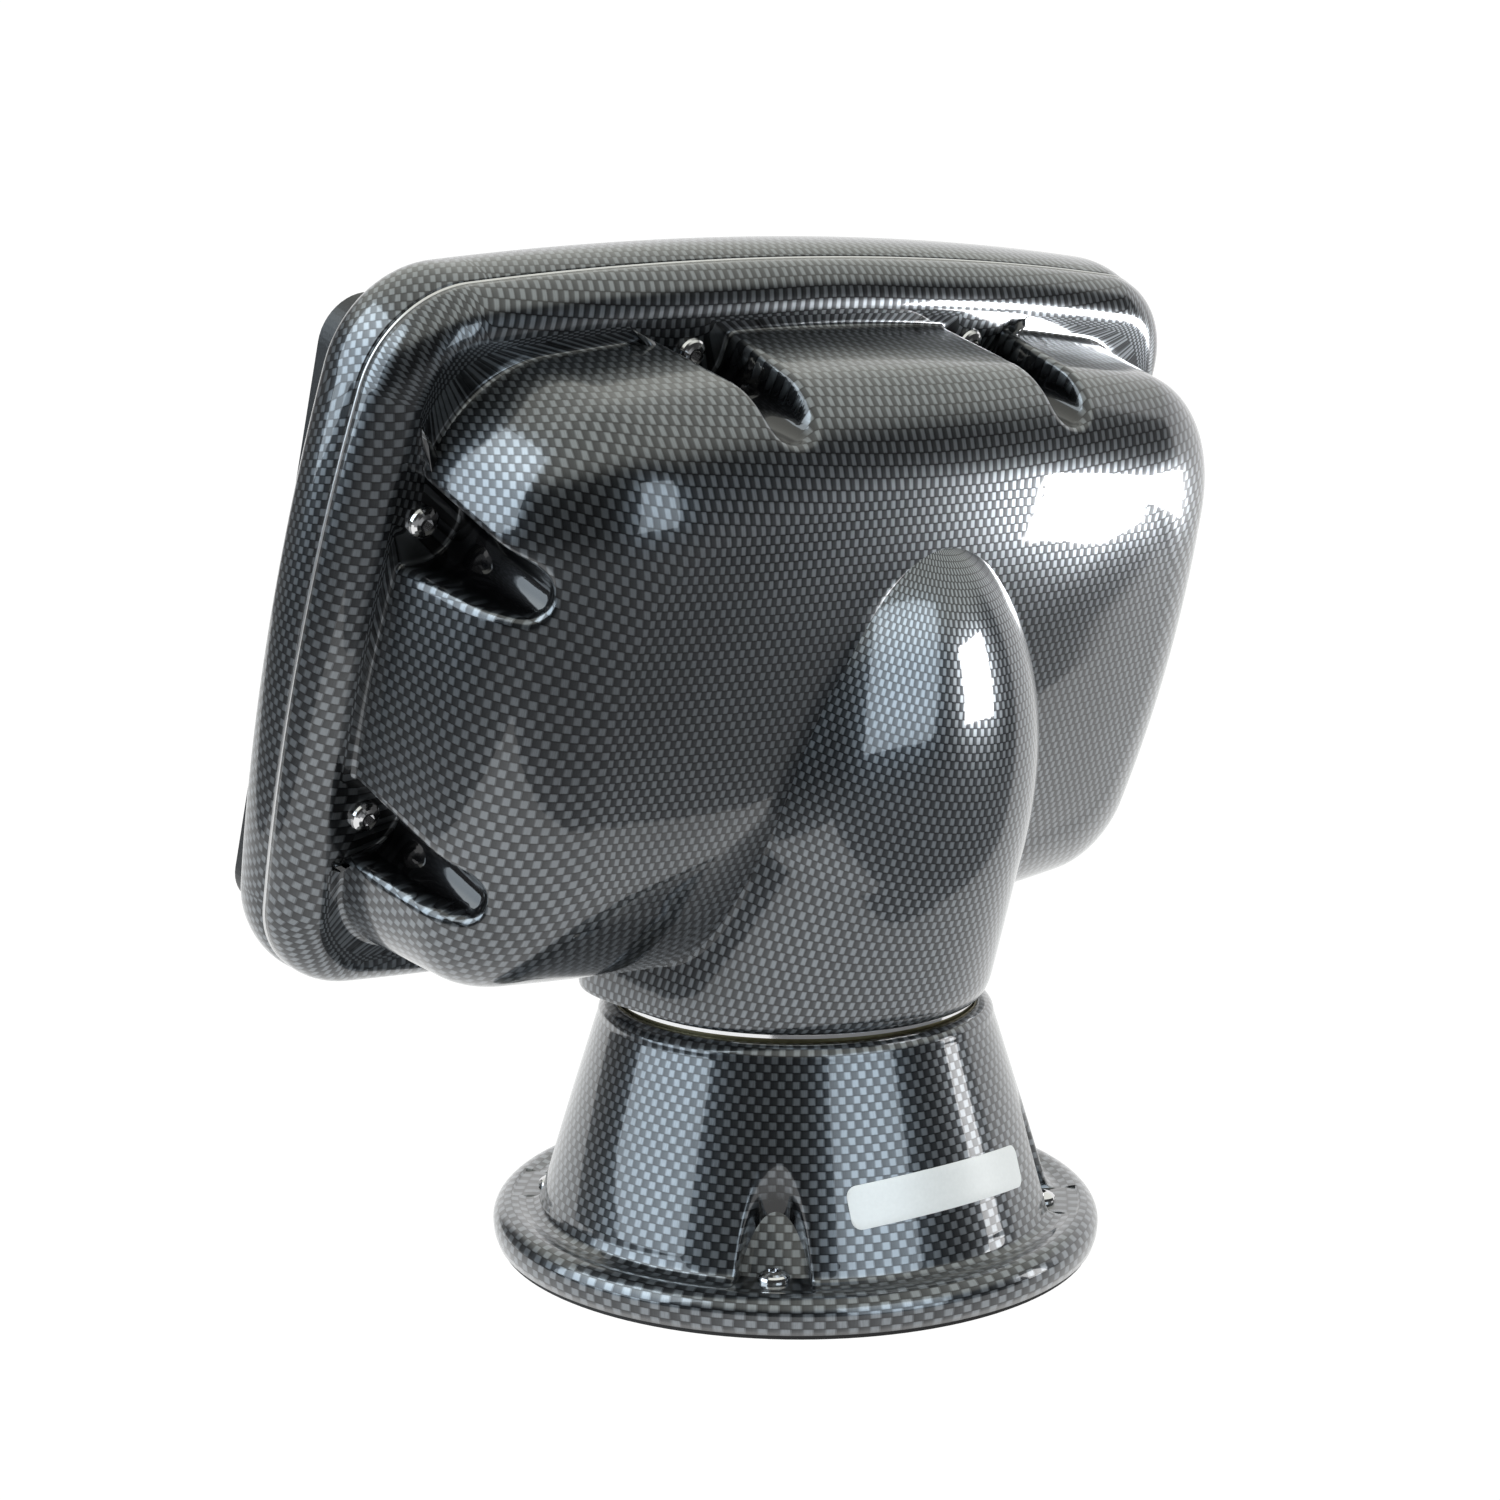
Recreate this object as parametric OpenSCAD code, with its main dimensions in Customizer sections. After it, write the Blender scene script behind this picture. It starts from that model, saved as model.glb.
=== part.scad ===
// Swivelling instrument pod for a boat: a display head on a leaning neck that turns on a coned base.
// Millimetres, +Z up. The origin is on the swivel axis, on the surface that the base stands on.
// The screen looks along -Y. Head parts are drawn in the head's own frame and leaned by in_head():
// x across, y back from the split line (the trim line), z up along the leaning screen.

/* [Head outline] */
// Half the width of the head at the trim line
head_a = 161.8; // [150:0.1:175]
// Half the height of the head at the trim line
head_b = 116; // [108:0.1:126]
// Corner radius of the head at the trim line
head_r = 32.5; // [26:0.5:40]
// Bulge of each side over its corners
head_side_crown = 4.3; // [1:0.1:8]
// Bulge of the top and bottom over their corners
head_top_crown = 6.7; // [1:0.1:10]
// Lean of the screen from upright
lean = 20.2; // [15:0.1:22]
// Middle of the trim line in front of the swivel axis
head_fwd = 26.9; // [20:0.1:32]
// Middle of the trim line above the deck
head_z = 195; // [193:0.1:205]

/* [Rear shell] */
// Wall of the moulded shells
wall = 3; // [2.4:0.1:4]
// Radius of the round rim behind the trim line, which is also its depth
rim_r = 12; // [10:0.5:14]
// Width of the screw flange, from the trim line in to the tub
flange_in = 16.4; // [15:0.1:19]
// Depth of the tub behind the trim line, at its middle
tub_depth = 85.6; // [80:0.1:92]
// Fall of the back face from its middle to its edge
back_crown = 8.5; // [5:0.1:11]
// Lean of the back face against the trim line, per unit of height
back_slope = 0.056; // [0.02:0.002:0.08]
// Depth of the round edge between walls and back face
shoulder_t = 32.4; // [26:0.1:38]
// Width of the round edge between walls and back face
shoulder_in = 39; // [32:0.5:44]
// Draft of the side walls over the tub's depth
side_draft = 3.2; // [1:0.1:6]
// Rise of the bottom wall over the tub's depth
bottom_draft = 15.6; // [10:0.1:20]
// Upper corner radius of the tub
tub_top_r = 38.5; // [34:0.5:46]
// Lower corner radius of the tub
tub_low_r = 26; // [24:0.5:36]

/* [Head screws] */
// Screw line inside the trim line
screw_in = 23.4; // [21:0.1:26]
// Upper screws to each side of the middle
screw_top_x = 56.5; // [50:0.5:62]
// Lower screws to each side of the middle, clear of the neck
screw_low_x = 82; // [79:0.5:90]
// Side screws above and below the middle
screw_side_z = 46; // [40:0.5:50]
// Screw shank radius
screw_r = 2; // [1.8:0.05:2.2]
// Screw head radius
screw_head_r = 4.75; // [4.2:0.05:5.2]
// Screw head height
screw_head_h = 3.2; // [2.8:0.1:3.6]
// Radial play of a screw in its clearance hole
screw_play = 0.3; // [0.2:0.05:0.5]
// Screw length under the head
screw_len = 17; // [14:0.5:18]
// Radius of a screw channel at the screw
channel_r = 12.5; // [11:0.1:13.5]
// Radius of a screw channel at its shallow end
channel_end_r = 7.5; // [5:0.1:8]
// Depth at which a screw channel runs out
channel_end = 66; // [56:0.5:68]

/* [Front bezel] */
// Depth of the bezel in front of the trim line
bezel_t = 21; // [18:0.5:25]
// Bulge of the bezel beyond the trim line
bezel_bulge = 1.2; // [0.4:0.1:2]
// Width of the bezel's round front edge
bezel_round = 9; // [7:0.5:11]
// Turn of the screen and the bezel's front out of the trim line's plane, deeper at the top
screen_tilt = 1.7; // [0:0.1:3]
// Thickness of the trim gasket that shows as a thin line
trim_t = 1.6; // [1.2:0.1:2.2]
// Outer radius of a bezel boss
boss_r = 6; // [5.4:0.1:6.4]
// Outer radius of a threaded insert
insert_r = 3.6; // [3.2:0.1:4]
// Length of a threaded insert
insert_l = 10; // [8:0.5:12]

/* [Display] */
// How far the display's front frame lies inside the head's sides
disp_in_x = 10.3; // [9:0.1:13]
// How far the display's front frame lies inside the head's top and bottom
disp_in_z = 20; // [16:0.5:23]
// Corner radius of the display's front frame
disp_r = 14; // [10:0.5:18]
// Thickness of the display's front frame
disp_t = 8; // [6:0.5:10]
// Clearance between the display's rear case and the walls of the screw channels
case_gap = 1.4; // [1:0.1:6]
// Depth of the display's rear case behind its front frame
case_t = 52; // [40:0.5:58]
// Clearance between the rear case and the bezel's cut-out
case_play = 2; // [1:0.1:2.4]
// How far the screen glass lies inside the front frame's sides
glass_in_x = 18.5; // [17:0.5:26]
// How far the screen glass lies inside the front frame's top and bottom
glass_in_z = 14; // [11:0.5:20]
// Thickness of the screen glass
glass_t = 2; // [1.5:0.1:2.5]
// Distance between the lead sockets on the rear case
socket_step = 22; // [20:0.5:30]
// Distance between the cooling ribs on the rear case
rib_step = 12; // [8:0.5:16]
// Radius of the power key
key_r = 5; // [4:0.1:5.6]
// Travel of the power key
key_travel = 0.8; // [0.5:0.1:1.2]
// Radial play round the power key
key_play = 0.15; // [0.1:0.01:0.25]

/* [Neck] */
// Radius of the neck
neck_r = 57.5; // [56:0.1:60]
// Straight length of the neck up from the swivel ring
neck_straight = 66; // [58:0.5:72]
// Length of the domed end of the neck
neck_dome = 92; // [84:0.5:98]
// Width of the dome against its depth
dome_squeeze = 0.89; // [0.84:0.01:0.96]
// Squareness of the foot's front half, 2 for a round one
foot_square = 4; // [3:0.5:5]
// Height of the round edge at the neck's foot
foot_h = 13; // [9:0.5:15]
// Thickness of the neck's floor
floor_t = 8; // [6:0.5:10]

/* [Swivel] */
// Height of the joint between the base and the neck
joint_z = 78.2; // [76.5:0.1:79.5]
// Radius of the polished swivel ring
ring_r = 56.6; // [56:0.1:57.2]
// Thickness of the polished swivel ring
ring_t = 1.2; // [1:0.1:1.8]
// Radius of the bearing ring in the base's mouth
bearing_r = 55.8; // [55:0.1:56.2]
// Thickness of the bearing ring
bearing_t = 4.2; // [3.8:0.1:5]
// Running play in the swivel
run_play = 0.08; // [0.04:0.01:0.1]
// Outer radius of the hollow spindle
spindle_r = 20; // [18:0.5:22]
// Bore radius of the hollow spindle, for the leads
spindle_bore = 15; // [13:0.5:16]
// Radius of the spindle's bolted flange
spindle_flange_r = 42; // [41:0.5:43]
// Radius of the spindle bolts' circle
spindle_bolt_ring = 35.5; // [35:0.1:36]
// Radius of the collar's hub
hub_r = 30; // [29:0.5:32]
// Length of the collar's hub below its plate
hub_l = 22; // [16:0.5:26]
// Thickness of the collar's plate
collar_t = 5; // [4:0.5:6]
// Radius of the collar screws' circle
collar_screw_ring = 51.5; // [51:0.1:52]
// Thickness of the thrust washer and of the friction washer
washer_t = 1.5; // [1:0.1:2]
// Thickness of the spindle nut
nut_t = 7; // [5:0.5:9]
// Swing of the head to each side, set by the stop
swing = 170; // [150:1:171]
// Radius of the stop pin
stop_r = 1.5; // [1.2:0.1:1.8]
// Distance of the stop pin from the swivel axis
stop_ring = 26; // [25.5:0.1:26.5]

/* [Base] */
// Greatest radius of the base's foot
foot_r = 95.5; // [93:0.1:100]
// Height of the foot's rolled edge
foot_edge = 12.5; // [12:0.1:14]
// Radius of the foot's rolled edge in section
foot_round = 6; // [5:0.1:7]
// Fall from the rolled edge to the foot's floor
foot_dip = 0.9; // [0.3:0.1:1.5]
// Radius of the cone where it meets the foot
cone_low_r = 80.2; // [78:0.1:82]
// Radius of the cone at its round top edge
cone_top_r = 61.9; // [61.4:0.1:64]
// Radius of the round top edge
lip_r = 4.4; // [3.8:0.1:4.8]
// Wall of the base moulding
base_wall = 3.5; // [3:0.1:4]
// Thickness of the gasket under the base
gasket_t = 1.5; // [1:0.1:2.5]
// Radius of the opening for the leads in the base's underside
base_bore = 58; // [50:0.5:62]
// Radius of the base screws' circle
base_screw_ring = 77.5; // [76:0.1:79]
// Turn of the base's screws from the screen's direction
base_turn = 43; // [30:1:60]
// Radius of an arched recess at the base screw
arch_r = 10.8; // [9:0.1:12]
// Radius of an arched recess at its top
arch_top_r = 6; // [5:0.1:8]
// Height of an arched recess
arch_h = 40; // [34:0.5:46]
// Radius of the deck bolts' circle
deck_bolt_ring = 76; // [74:0.5:78]
// Radius of a deck bolt's threaded hole
deck_bolt_r = 2.5; // [2:0.1:3]

/* [Hidden] */

seat = 0.05;                                // face to face gap between pieces that are clamped
n_corner = 5;                               // steps round a moulding's corner
n_side = 4;                                 // steps along a moulding's side
n_flat = 3;                                 // steps along half of a moulding's top or bottom
n_neck = 32;                                // steps round the neck
n_channel = 16;                              // facets of a screw channel
n_channel_wall = 12;                         // facets of the wall round it

tub_edge = tub_depth - back_crown;          // depth at the edge of the back face
shoulder_start = tub_edge - shoulder_t;
draft_span = tub_edge - rim_r;
back_mid = bottom_draft / 2;                // height of the back face's middle
screw_top_z = head_b - screw_in;
screw_side_x = head_a - screw_in;
screw_places = [                            // across, up, and the side of the head it is on
    [screw_top_x, screw_top_z, 0], [-screw_top_x, screw_top_z, 0],
    [screw_side_x, screw_side_z, 1], [-screw_side_x, screw_side_z, -1],
    [screw_side_x, -screw_side_z, 1], [-screw_side_x, -screw_side_z, -1],
    [screw_low_x, -screw_top_z, 0], [-screw_low_x, -screw_top_z, 0]];
channel_shift = 2;                          // how far a side channel's end drifts inwards
flange_face = rim_r - wall - 0.4;           // front of the pads round the screws, inside the flange

neck_base = joint_z + ring_t;               // underside of the neck
collar_top = joint_z - bearing_t;
ledge_z = collar_top - collar_t;            // shelf inside the base that carries the collar
ledge_t = 6;
ledge_bore = 47;
hub_low = ledge_z - hub_l;
nut_top = hub_low - 2 * washer_t - 2 * seat;
spindle_low = nut_top - nut_t - 3;
flange_low = collar_top + 0.3;              // underside of the spindle's flange
bearing_bore = spindle_flange_r + 0.5;
lip_z = joint_z - 1.2;                      // highest point of the base
cone_top_z = lip_z - lip_r;
mouth_r = bearing_r + 0.3;
foot_floor = foot_edge - foot_dip;
foot_in = foot_floor - base_wall;           // underside of the foot's wall
foot_pocket_r = foot_r - foot_round + 0.2;
cone_foot_z = foot_floor + 2.6;
cone_rate = (cone_low_r - cone_top_r) / (cone_top_z - cone_foot_z);

bezel_gasket_t = 1;
disp_back = -bezel_t - bezel_gasket_t;      // rear of the display's front frame
disp_front = disp_back - disp_t;
disp_a = head_a - disp_in_x;
disp_b = head_b - disp_in_z;
case_a = screw_side_x - channel_r - wall - case_gap;
case_b = screw_top_z - channel_r - wall - case_gap;
glass_a = disp_a - glass_in_x;
glass_b = disp_b - glass_in_z;
stud_x = disp_a - 11;
stud_top = disp_b - 20;
stud_low = disp_b - 24;
stud_places = [[stud_x, stud_top], [-stud_x, stud_top], [stud_x, -stud_low], [-stud_x, -stud_low]];
key_x = disp_a - 9.5;
key_z = 12.5 - disp_b;
socket_z = -0.69 * case_b;
ribs = floor((case_a - 10) / rib_step);     // cooling ribs on each side of the middle
case_back = disp_back + case_t;

// ---- outlines and lofts ----

// One outline of four crowned sides and four round corners, as [x, z] points from the bottom
// middle round by the right: a is half the width, t the top, b the bottom, rt and rb the corner
// radii, cx and cz the crowns. Corner arcs start at the angle at which the crowned sides end.
function outline(a, t, b, rt, rb, cx, cz) =
    let (d = 2 * atan(cx / ((t + b - rt - rb) / 2 - cz)),
         et = 2 * atan(cz / (a - cx - rt)),
         eb = 2 * atan(cz / (a - cx - rb)),
         xt = a - cx - rt * cos(d),
         zt = t - cz - rt * cos(et),
         xb = a - cx - rb * cos(d),
         zb = cz + rb * cos(eb) - b,
         hi = zt + rt * sin(d),
         lo = zb - rb * sin(d),
         half = (hi - lo) / 2,
         ds = 2 * atan(cx / half),
         side_r = half / sin(ds),
         top_x = xt + rt * sin(et),
         dt = 2 * atan(cz / top_x),
         top_r = top_x / sin(dt),
         low_x = xb + rb * sin(eb),
         db = 2 * atan(cz / low_x),
         low_r = low_x / sin(db),
         right = concat(
             [for (i = [0:n_flat - 1]) let (p = db * i / n_flat)
                 [low_r * sin(p), low_r * (1 - cos(p)) - b]],
             [for (i = [0:n_corner]) let (p = -90 + eb + (90 - eb - d) * i / n_corner)
                 [xb + rb * cos(p), zb + rb * sin(p)]],
             [for (i = [1:n_side - 1]) let (p = ds * (2 * i / n_side - 1))
                 [a - side_r * (1 - cos(p)), (hi + lo) / 2 + side_r * sin(p)]],
             [for (i = [0:n_corner]) let (p = d + (90 - et - d) * i / n_corner)
                 [xt + rt * cos(p), zt + rt * sin(p)]],
             [for (i = [n_flat - 1:-1:0]) let (p = dt * i / n_flat)
                 [top_r * sin(p), t - top_r * (1 - cos(p))]]))
    concat(right, [for (i = [len(right) - 2:-1:1]) [-right[i][0], right[i][1]]]);

// An outline stood at depth y; slope tips it back by its height.
function stand(points, y, slope = 0) = [for (p = points) [p[0], y - slope * p[1], p[1]]];

// A closed solid through rings of equal length, from the front one to the back one.
module loft(rings) {
    m = len(rings[0]);
    last = len(rings) - 1;
    polyhedron(
        points = [for (r = rings) each r],
        faces = concat(
            [[for (i = [0:m - 1]) m - 1 - i]],
            [[for (i = [0:m - 1]) last * m + i]],
            [for (j = [0:last - 1], i = [0:m - 1]) let (k = (i + 1) % m)
                [j * m + i, j * m + k, (j + 1) * m + k]],
            [for (j = [0:last - 1], i = [0:m - 1]) let (k = (i + 1) % m)
                [j * m + i, (j + 1) * m + k, (j + 1) * m + i]]));
}

// The head's outline at the trim line, drawn in by a margin.
function head_ring(y, inset, slope = 0) =
    stand(outline(head_a - inset, head_b - inset, head_b - inset, head_r - inset,
        head_r - inset, head_side_crown, head_top_crown), y, slope);

// The tub's outline at depth y: draft grows with depth, inset is the round shoulder's, skin the wall's.
function tub_ring(y, inset, skin) =
    let (g = max(y - rim_r, 0) / draft_span,
         t = head_b - flange_in - inset - skin,
         r = 0.28 * inset + skin)
    stand(outline(head_a - flange_in - side_draft * g - inset - skin, t,
        t - bottom_draft * g, tub_top_r - r, tub_low_r - r, head_side_crown, head_top_crown),
        y, back_slope * g);

// Rim, screw flange, tub walls, round shoulder and crowned back face, as one list of rings.
function shell_rings(skin) =
    let (rim = rim_r - skin,
         edge = tub_edge - skin,
         deep = shoulder_t - skin,
         wide = shoulder_in - skin,
         front = skin == 0 ? 0 : -1)
    concat(
        [head_ring(front, skin)],
        [for (a = [18:18:90]) head_ring(rim * sin(a), skin + rim * (1 - cos(a)))],
        [for (f = [0:2]) tub_ring(rim + (shoulder_start - rim) * f / 2, 0, skin)],
        [for (a = [15:15:90]) tub_ring(shoulder_start + deep * sin(a), wide * (1 - cos(a)), skin)],
        [for (g = [0.8, 0.55, 0.25]) [for (p = tub_ring(edge, wide, skin))
            let (z = back_mid + (p[2] - back_mid) * g)
            [p[0] * g, edge + back_crown * (1 - g * g) - back_slope * z, z]]]);

module in_head() {
    translate([0, -head_fwd, head_z]) rotate([-lean, 0, 0]) children();
}

// The display's own frame: the head's, turned about the middle of the trim line.
module in_screen() {
    in_head() rotate([screen_tilt, 0, 0]) children();
}

// One ring of the neck. s is the length along its axis, tilt the ring's own lean, grow the share
// of the way from the ring under the foot to the full section, and scale shrinks it to the dome.
function neck_ring(s, tilt, grow, scale, skin) =
    let (narrow = 1 - (1 - dome_squeeze) * min(s / neck_straight, 1))
    [for (i = [0:n_neck - 1])
        let (p = -360 * i / n_neck,
             c = cos(p),
             d = sin(p),
             f = d < 0 ? pow(pow(abs(c), foot_square) + pow(abs(d), foot_square), -1 / foot_square) : 1,
             x = c * f * (ring_r + (neck_r * narrow - ring_r) * grow - skin),
             y = d * f * (ring_r + (neck_r / cos(lean - tilt) - ring_r) * grow - skin) * scale)
        [x * scale, s * sin(lean) + y * cos(tilt), neck_base + s * cos(lean) - y * sin(tilt)]];

// Foot, straight part and dome of the neck, in the part's own frame, from height low upwards.
module neck(low, skin) {
    loft(concat(
        [for (a = [0:22.5:90]) let (h = low + (foot_h - low) * (1 - cos(a)), r = 1 - h / foot_h)
            neck_ring(h / cos(lean), 0, sqrt(1 - r * r), 1, skin)],
        [neck_ring(neck_straight * 0.6, lean * 0.6, 1, 1, skin),
         neck_ring(neck_straight, lean, 1, 1, skin)],
        [for (b = [15:15:75]) neck_ring(neck_straight + (neck_dome - skin) * sin(b),
            lean, 1, cos(b), skin)],
        [neck_ring(neck_straight + (neck_dome - skin) * sin(84), lean, 1, cos(84), skin)]));
}

// ---- base, fixed to the deck ----

// Copies of the children round the swivel axis, count of them, the first one at angle from.
module around(count, from, ring) {
    for (i = [0:count - 1]) rotate([0, 0, from + 360 * i / count]) translate([ring, 0, 0]) children();
}

module disc(low, high, outer, facets = 96) {
    translate([0, 0, low]) cylinder(h = high - low, r = outer, $fn = facets);
}

// A flat ring between two heights.
module washer(low, high, outer, inner) {
    difference() {
        disc(low, high, outer);
        disc(low - 1, high + 1, inner);
    }
}

// The base's outline from the foot's lower edge over the cone to the mouth, as [radius, height].
function base_outer() = concat(
    [[foot_r - 1, gasket_t], [foot_r - 0.2, gasket_t + 2.5]],
    [for (a = [0:15:90]) [foot_r - foot_round * (1 - cos(a)), foot_edge - foot_round * (1 - sin(a))]],
    [[foot_r - foot_round - 2, foot_edge - 0.2],
     [foot_r - foot_round - 4, foot_floor + 0.1],
     [cone_low_r + 3.4, foot_floor],
     [cone_low_r + 1.6, foot_floor + 0.4],
     [cone_low_r + 0.5, foot_floor + 1.2],
     [cone_low_r, cone_foot_z]],
    [for (a = [15:15:90]) [cone_top_r - lip_r * (1 - cos(a)), cone_top_z + lip_r * sin(a)]],
    [[mouth_r, lip_z]]);

// Screw recesses: a draughted round channel that runs out of the cone as an arch.
module arches(grow) {
    around(4, base_turn - 90, base_screw_ring)
        translate([0, 0, foot_floor - (grow > 0 ? base_wall : 0)])
            cylinder(h = arch_h + grow, r1 = arch_r + grow, r2 = arch_top_r + grow, $fn = 48);
}

module base_housing() {
    inner_low = cone_low_r - base_wall;
    inner_top = cone_low_r - base_wall - cone_rate * (ledge_z - ledge_t - 3 - foot_in);
    color([0.07, 0.08, 0.09]) difference() {
        union() {
            rotate_extrude($fn = 128) polygon(concat(base_outer(), [
                [mouth_r, ledge_z],
                [ledge_bore, ledge_z],
                [ledge_bore, ledge_z - ledge_t],
                [inner_top - 4, ledge_z - ledge_t],
                [inner_top, ledge_z - ledge_t - 3],
                [inner_low, foot_in],
                [foot_pocket_r, foot_in],
                [foot_pocket_r, gasket_t]]));
            intersection() {
                arches(base_wall);
                rotate_extrude($fn = 128) polygon(concat(base_outer(),
                    [[mouth_r, foot_in], [foot_pocket_r, foot_in], [foot_pocket_r, gasket_t]]));
            }
        }
        arches(0);
        around(4, base_turn - 90, base_screw_ring) disc(0, foot_edge, 2.25 + screw_play);
        around(4, 45, collar_screw_ring) disc(ledge_z - ledge_t - 1, ledge_z + 1, screw_r + screw_play);
    }
}

module base_gasket() {
    color([0.05, 0.05, 0.05]) difference() {
        washer(0, gasket_t - seat, foot_r - 2, base_bore);
        around(4, base_turn - 45, deck_bolt_ring) disc(-1, gasket_t + 1, deck_bolt_r);
    }
}

// Ring inside the foot: the base's screws thread into it, and the deck's bolts thread in from below.
module deck_ring() {
    color([0.72, 0.73, 0.75]) difference() {
        washer(gasket_t, foot_in - seat, foot_pocket_r - 0.3, base_bore);
        around(4, base_turn - 90, base_screw_ring) disc(gasket_t + 1.5, foot_in + 1, 2.25 + seat);
        around(4, base_turn - 45, deck_bolt_ring) disc(0, foot_in + 1, deck_bolt_r);
    }
}

// A domed pan head screw that points along -Z from z = 0, with a socket in its head.
module pan_screw(shank, length, wide = screw_head_r) {
    color([0.86, 0.86, 0.85]) difference() {
        union() {
            rotate_extrude($fn = 48) polygon(concat(
                [[0, -0.5], [shank, -0.5], [shank, 0], [wide, 0], [wide, 0.9]],
                [for (a = [20:14:90]) [wide * cos(a), 0.9 + (screw_head_h - 0.9) * sin(a)]],
                [[0, screw_head_h]]));
            translate([0, 0, -length]) cylinder(h = length, r = shank, $fn = 32);
        }
        translate([0, 0, screw_head_h - 1.8]) cylinder(h = 3, r = 1.9, $fn = 6);
    }
}

module base_screws() {
    around(4, base_turn - 90, base_screw_ring) translate([0, 0, foot_floor + seat])
        pan_screw(2.25, foot_floor - gasket_t - 2);
}

// Bearing carrier: a plate on the base's ledge with a long hub for the spindle.
module swivel_collar() {
    color([0.60, 0.62, 0.65]) difference() {
        union() {
            disc(ledge_z + seat, collar_top, mouth_r - 0.1);
            disc(hub_low, ledge_z + 1, hub_r);
        }
        disc(hub_low - 1, collar_top + 1, spindle_r + run_play);
        around(4, 45, collar_screw_ring) disc(ledge_z - 1, collar_top - 1, screw_r + seat);
        rotate([0, 0, 90]) around(1, 0, stop_ring) disc(ledge_z - 1, collar_top + 1, stop_r + seat);
    }
}

module collar_screws() {
    around(4, 45, collar_screw_ring) translate([0, 0, ledge_z - ledge_t - seat])
        rotate([180, 0, 0]) pan_screw(screw_r, ledge_t + collar_t - 2, 3.6);
}

module bearing_ring() {
    color([0.32, 0.31, 0.20]) washer(collar_top + seat, joint_z, bearing_r, bearing_bore);
}

// Pin in the collar: it runs in the spindle flange's groove and stops the head before a full turn.
module stop_pin() {
    color([0.80, 0.80, 0.80]) rotate([0, 0, 90]) translate([stop_ring, 0, ledge_z + 0.5])
        cylinder(h = bearing_t / 2 + collar_t - 0.5, r = stop_r, $fn = 32);
}

module thrust_washer() {
    color([0.90, 0.88, 0.82]) washer(hub_low - seat - washer_t, hub_low - seat, hub_r, spindle_r + run_play);
}

// ---- head, turning on the base ----

module friction_washer() {
    color([0.74, 0.74, 0.75]) washer(nut_top, nut_top + washer_t - seat, hub_r - 1, spindle_r + run_play);
}

module spindle_nut() {
    color([0.66, 0.66, 0.68]) difference() {
        translate([0, 0, nut_top - seat - nut_t]) cylinder(h = nut_t, r = hub_r + 2, $fn = 6);
        disc(spindle_low - 1, nut_top + 1, spindle_r + seat);
    }
}

module spindle() {
    web = 360 - 2 * swing - 2 * asin(stop_r / stop_ring) - 0.4;
    color([0.62, 0.63, 0.66]) difference() {
        union() {
            disc(spindle_low, neck_base + 4, spindle_r);
            disc(flange_low, joint_z - seat, spindle_flange_r);
        }
        disc(spindle_low - 1, neck_base + 5, spindle_bore);
        around(4, 45, spindle_bolt_ring) {
            disc(flange_low - 1, joint_z + 1, 2.5 + screw_play);
            translate([0, 0, flange_low - 0.1]) cylinder(h = 2.5, r1 = 5.1, r2 = 2.6, $fn = 48);
        }
        rotate([0, 0, web / 2 - 90]) rotate_extrude(angle = 360 - web, $fn = 96)
            translate([stop_ring - stop_r - 0.2, flange_low - 1]) square([2 * stop_r + 0.4, 3.2]);
    }
}

module spindle_bolts() {
    color([0.70, 0.70, 0.71]) around(4, 45, spindle_bolt_ring) difference() {
        union() {
            translate([0, 0, flange_low + 0.15]) cylinder(h = 2, r1 = 4.5, r2 = 2.5, $fn = 48);
            disc(flange_low + 1, neck_base + 6, 2.5);
        }
        translate([0, 0, flange_low - 0.5]) cylinder(h = 2, r = 1.5, $fn = 6);
    }
}

module swivel_ring() {
    color([0.90, 0.91, 0.92]) difference() {
        washer(joint_z + run_play, neck_base - seat, ring_r, spindle_r + 0.2);
        around(4, 45, spindle_bolt_ring) disc(joint_z - 1, neck_base + 1, 2.5 + screw_play);
    }
}

// Rubber sleeve in the top of the spindle, round the leads.
module cable_grommet() {
    color([0.06, 0.06, 0.06]) difference() {
        union() {
            disc(neck_base - 2, neck_base + 5, spindle_bore - 0.1);
            disc(neck_base + 4 + seat, neck_base + 6, spindle_bore + 3);
        }
        disc(neck_base - 3, neck_base + 7, spindle_bore - 4);
    }
}

// Screw channels of the rear shell: from the flange into the tub, running out at channel_end.
module channels(grow, facets) {
    for (p = screw_places) hull() {
        translate([p[0], grow > 0 ? flange_face : rim_r - seat, p[1]]) rotate([-90, 0, 0])
            cylinder(h = 1, r = channel_r + grow, $fn = facets);
        translate([p[0] - channel_shift * p[2], channel_end - channel_end_r, p[1]])
            sphere(r = channel_end_r + grow, $fn = facets);
    }
}

module head_holes(low, high, r) {
    for (p = screw_places) translate([p[0], low, p[1]]) rotate([-90, 0, 0])
        cylinder(h = high - low, r = r, $fn = 20);
}

// One moulding: round rim, screw flange, tub, and the leaning neck with its floor.
module rear_shell() {
    color([0.09, 0.10, 0.12]) difference() {
        union() {
            in_head() loft(shell_rings(0));
            neck(0, 0);
        }
        difference() {
            union() {
                in_head() loft(shell_rings(wall));
                neck(floor_t, wall);
            }
            in_head() channels(wall, n_channel_wall);
        }
        in_head() channels(0, n_channel);
        in_head() head_holes(-1, rim_r + 2, screw_r + screw_play);
        disc(neck_base - 1, neck_base + floor_t + 1, spindle_r + 0.3, 48);
        around(4, 45, spindle_bolt_ring) disc(neck_base - 1, neck_base + floor_t + 1, 2.65, 20);
    }
}

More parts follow.
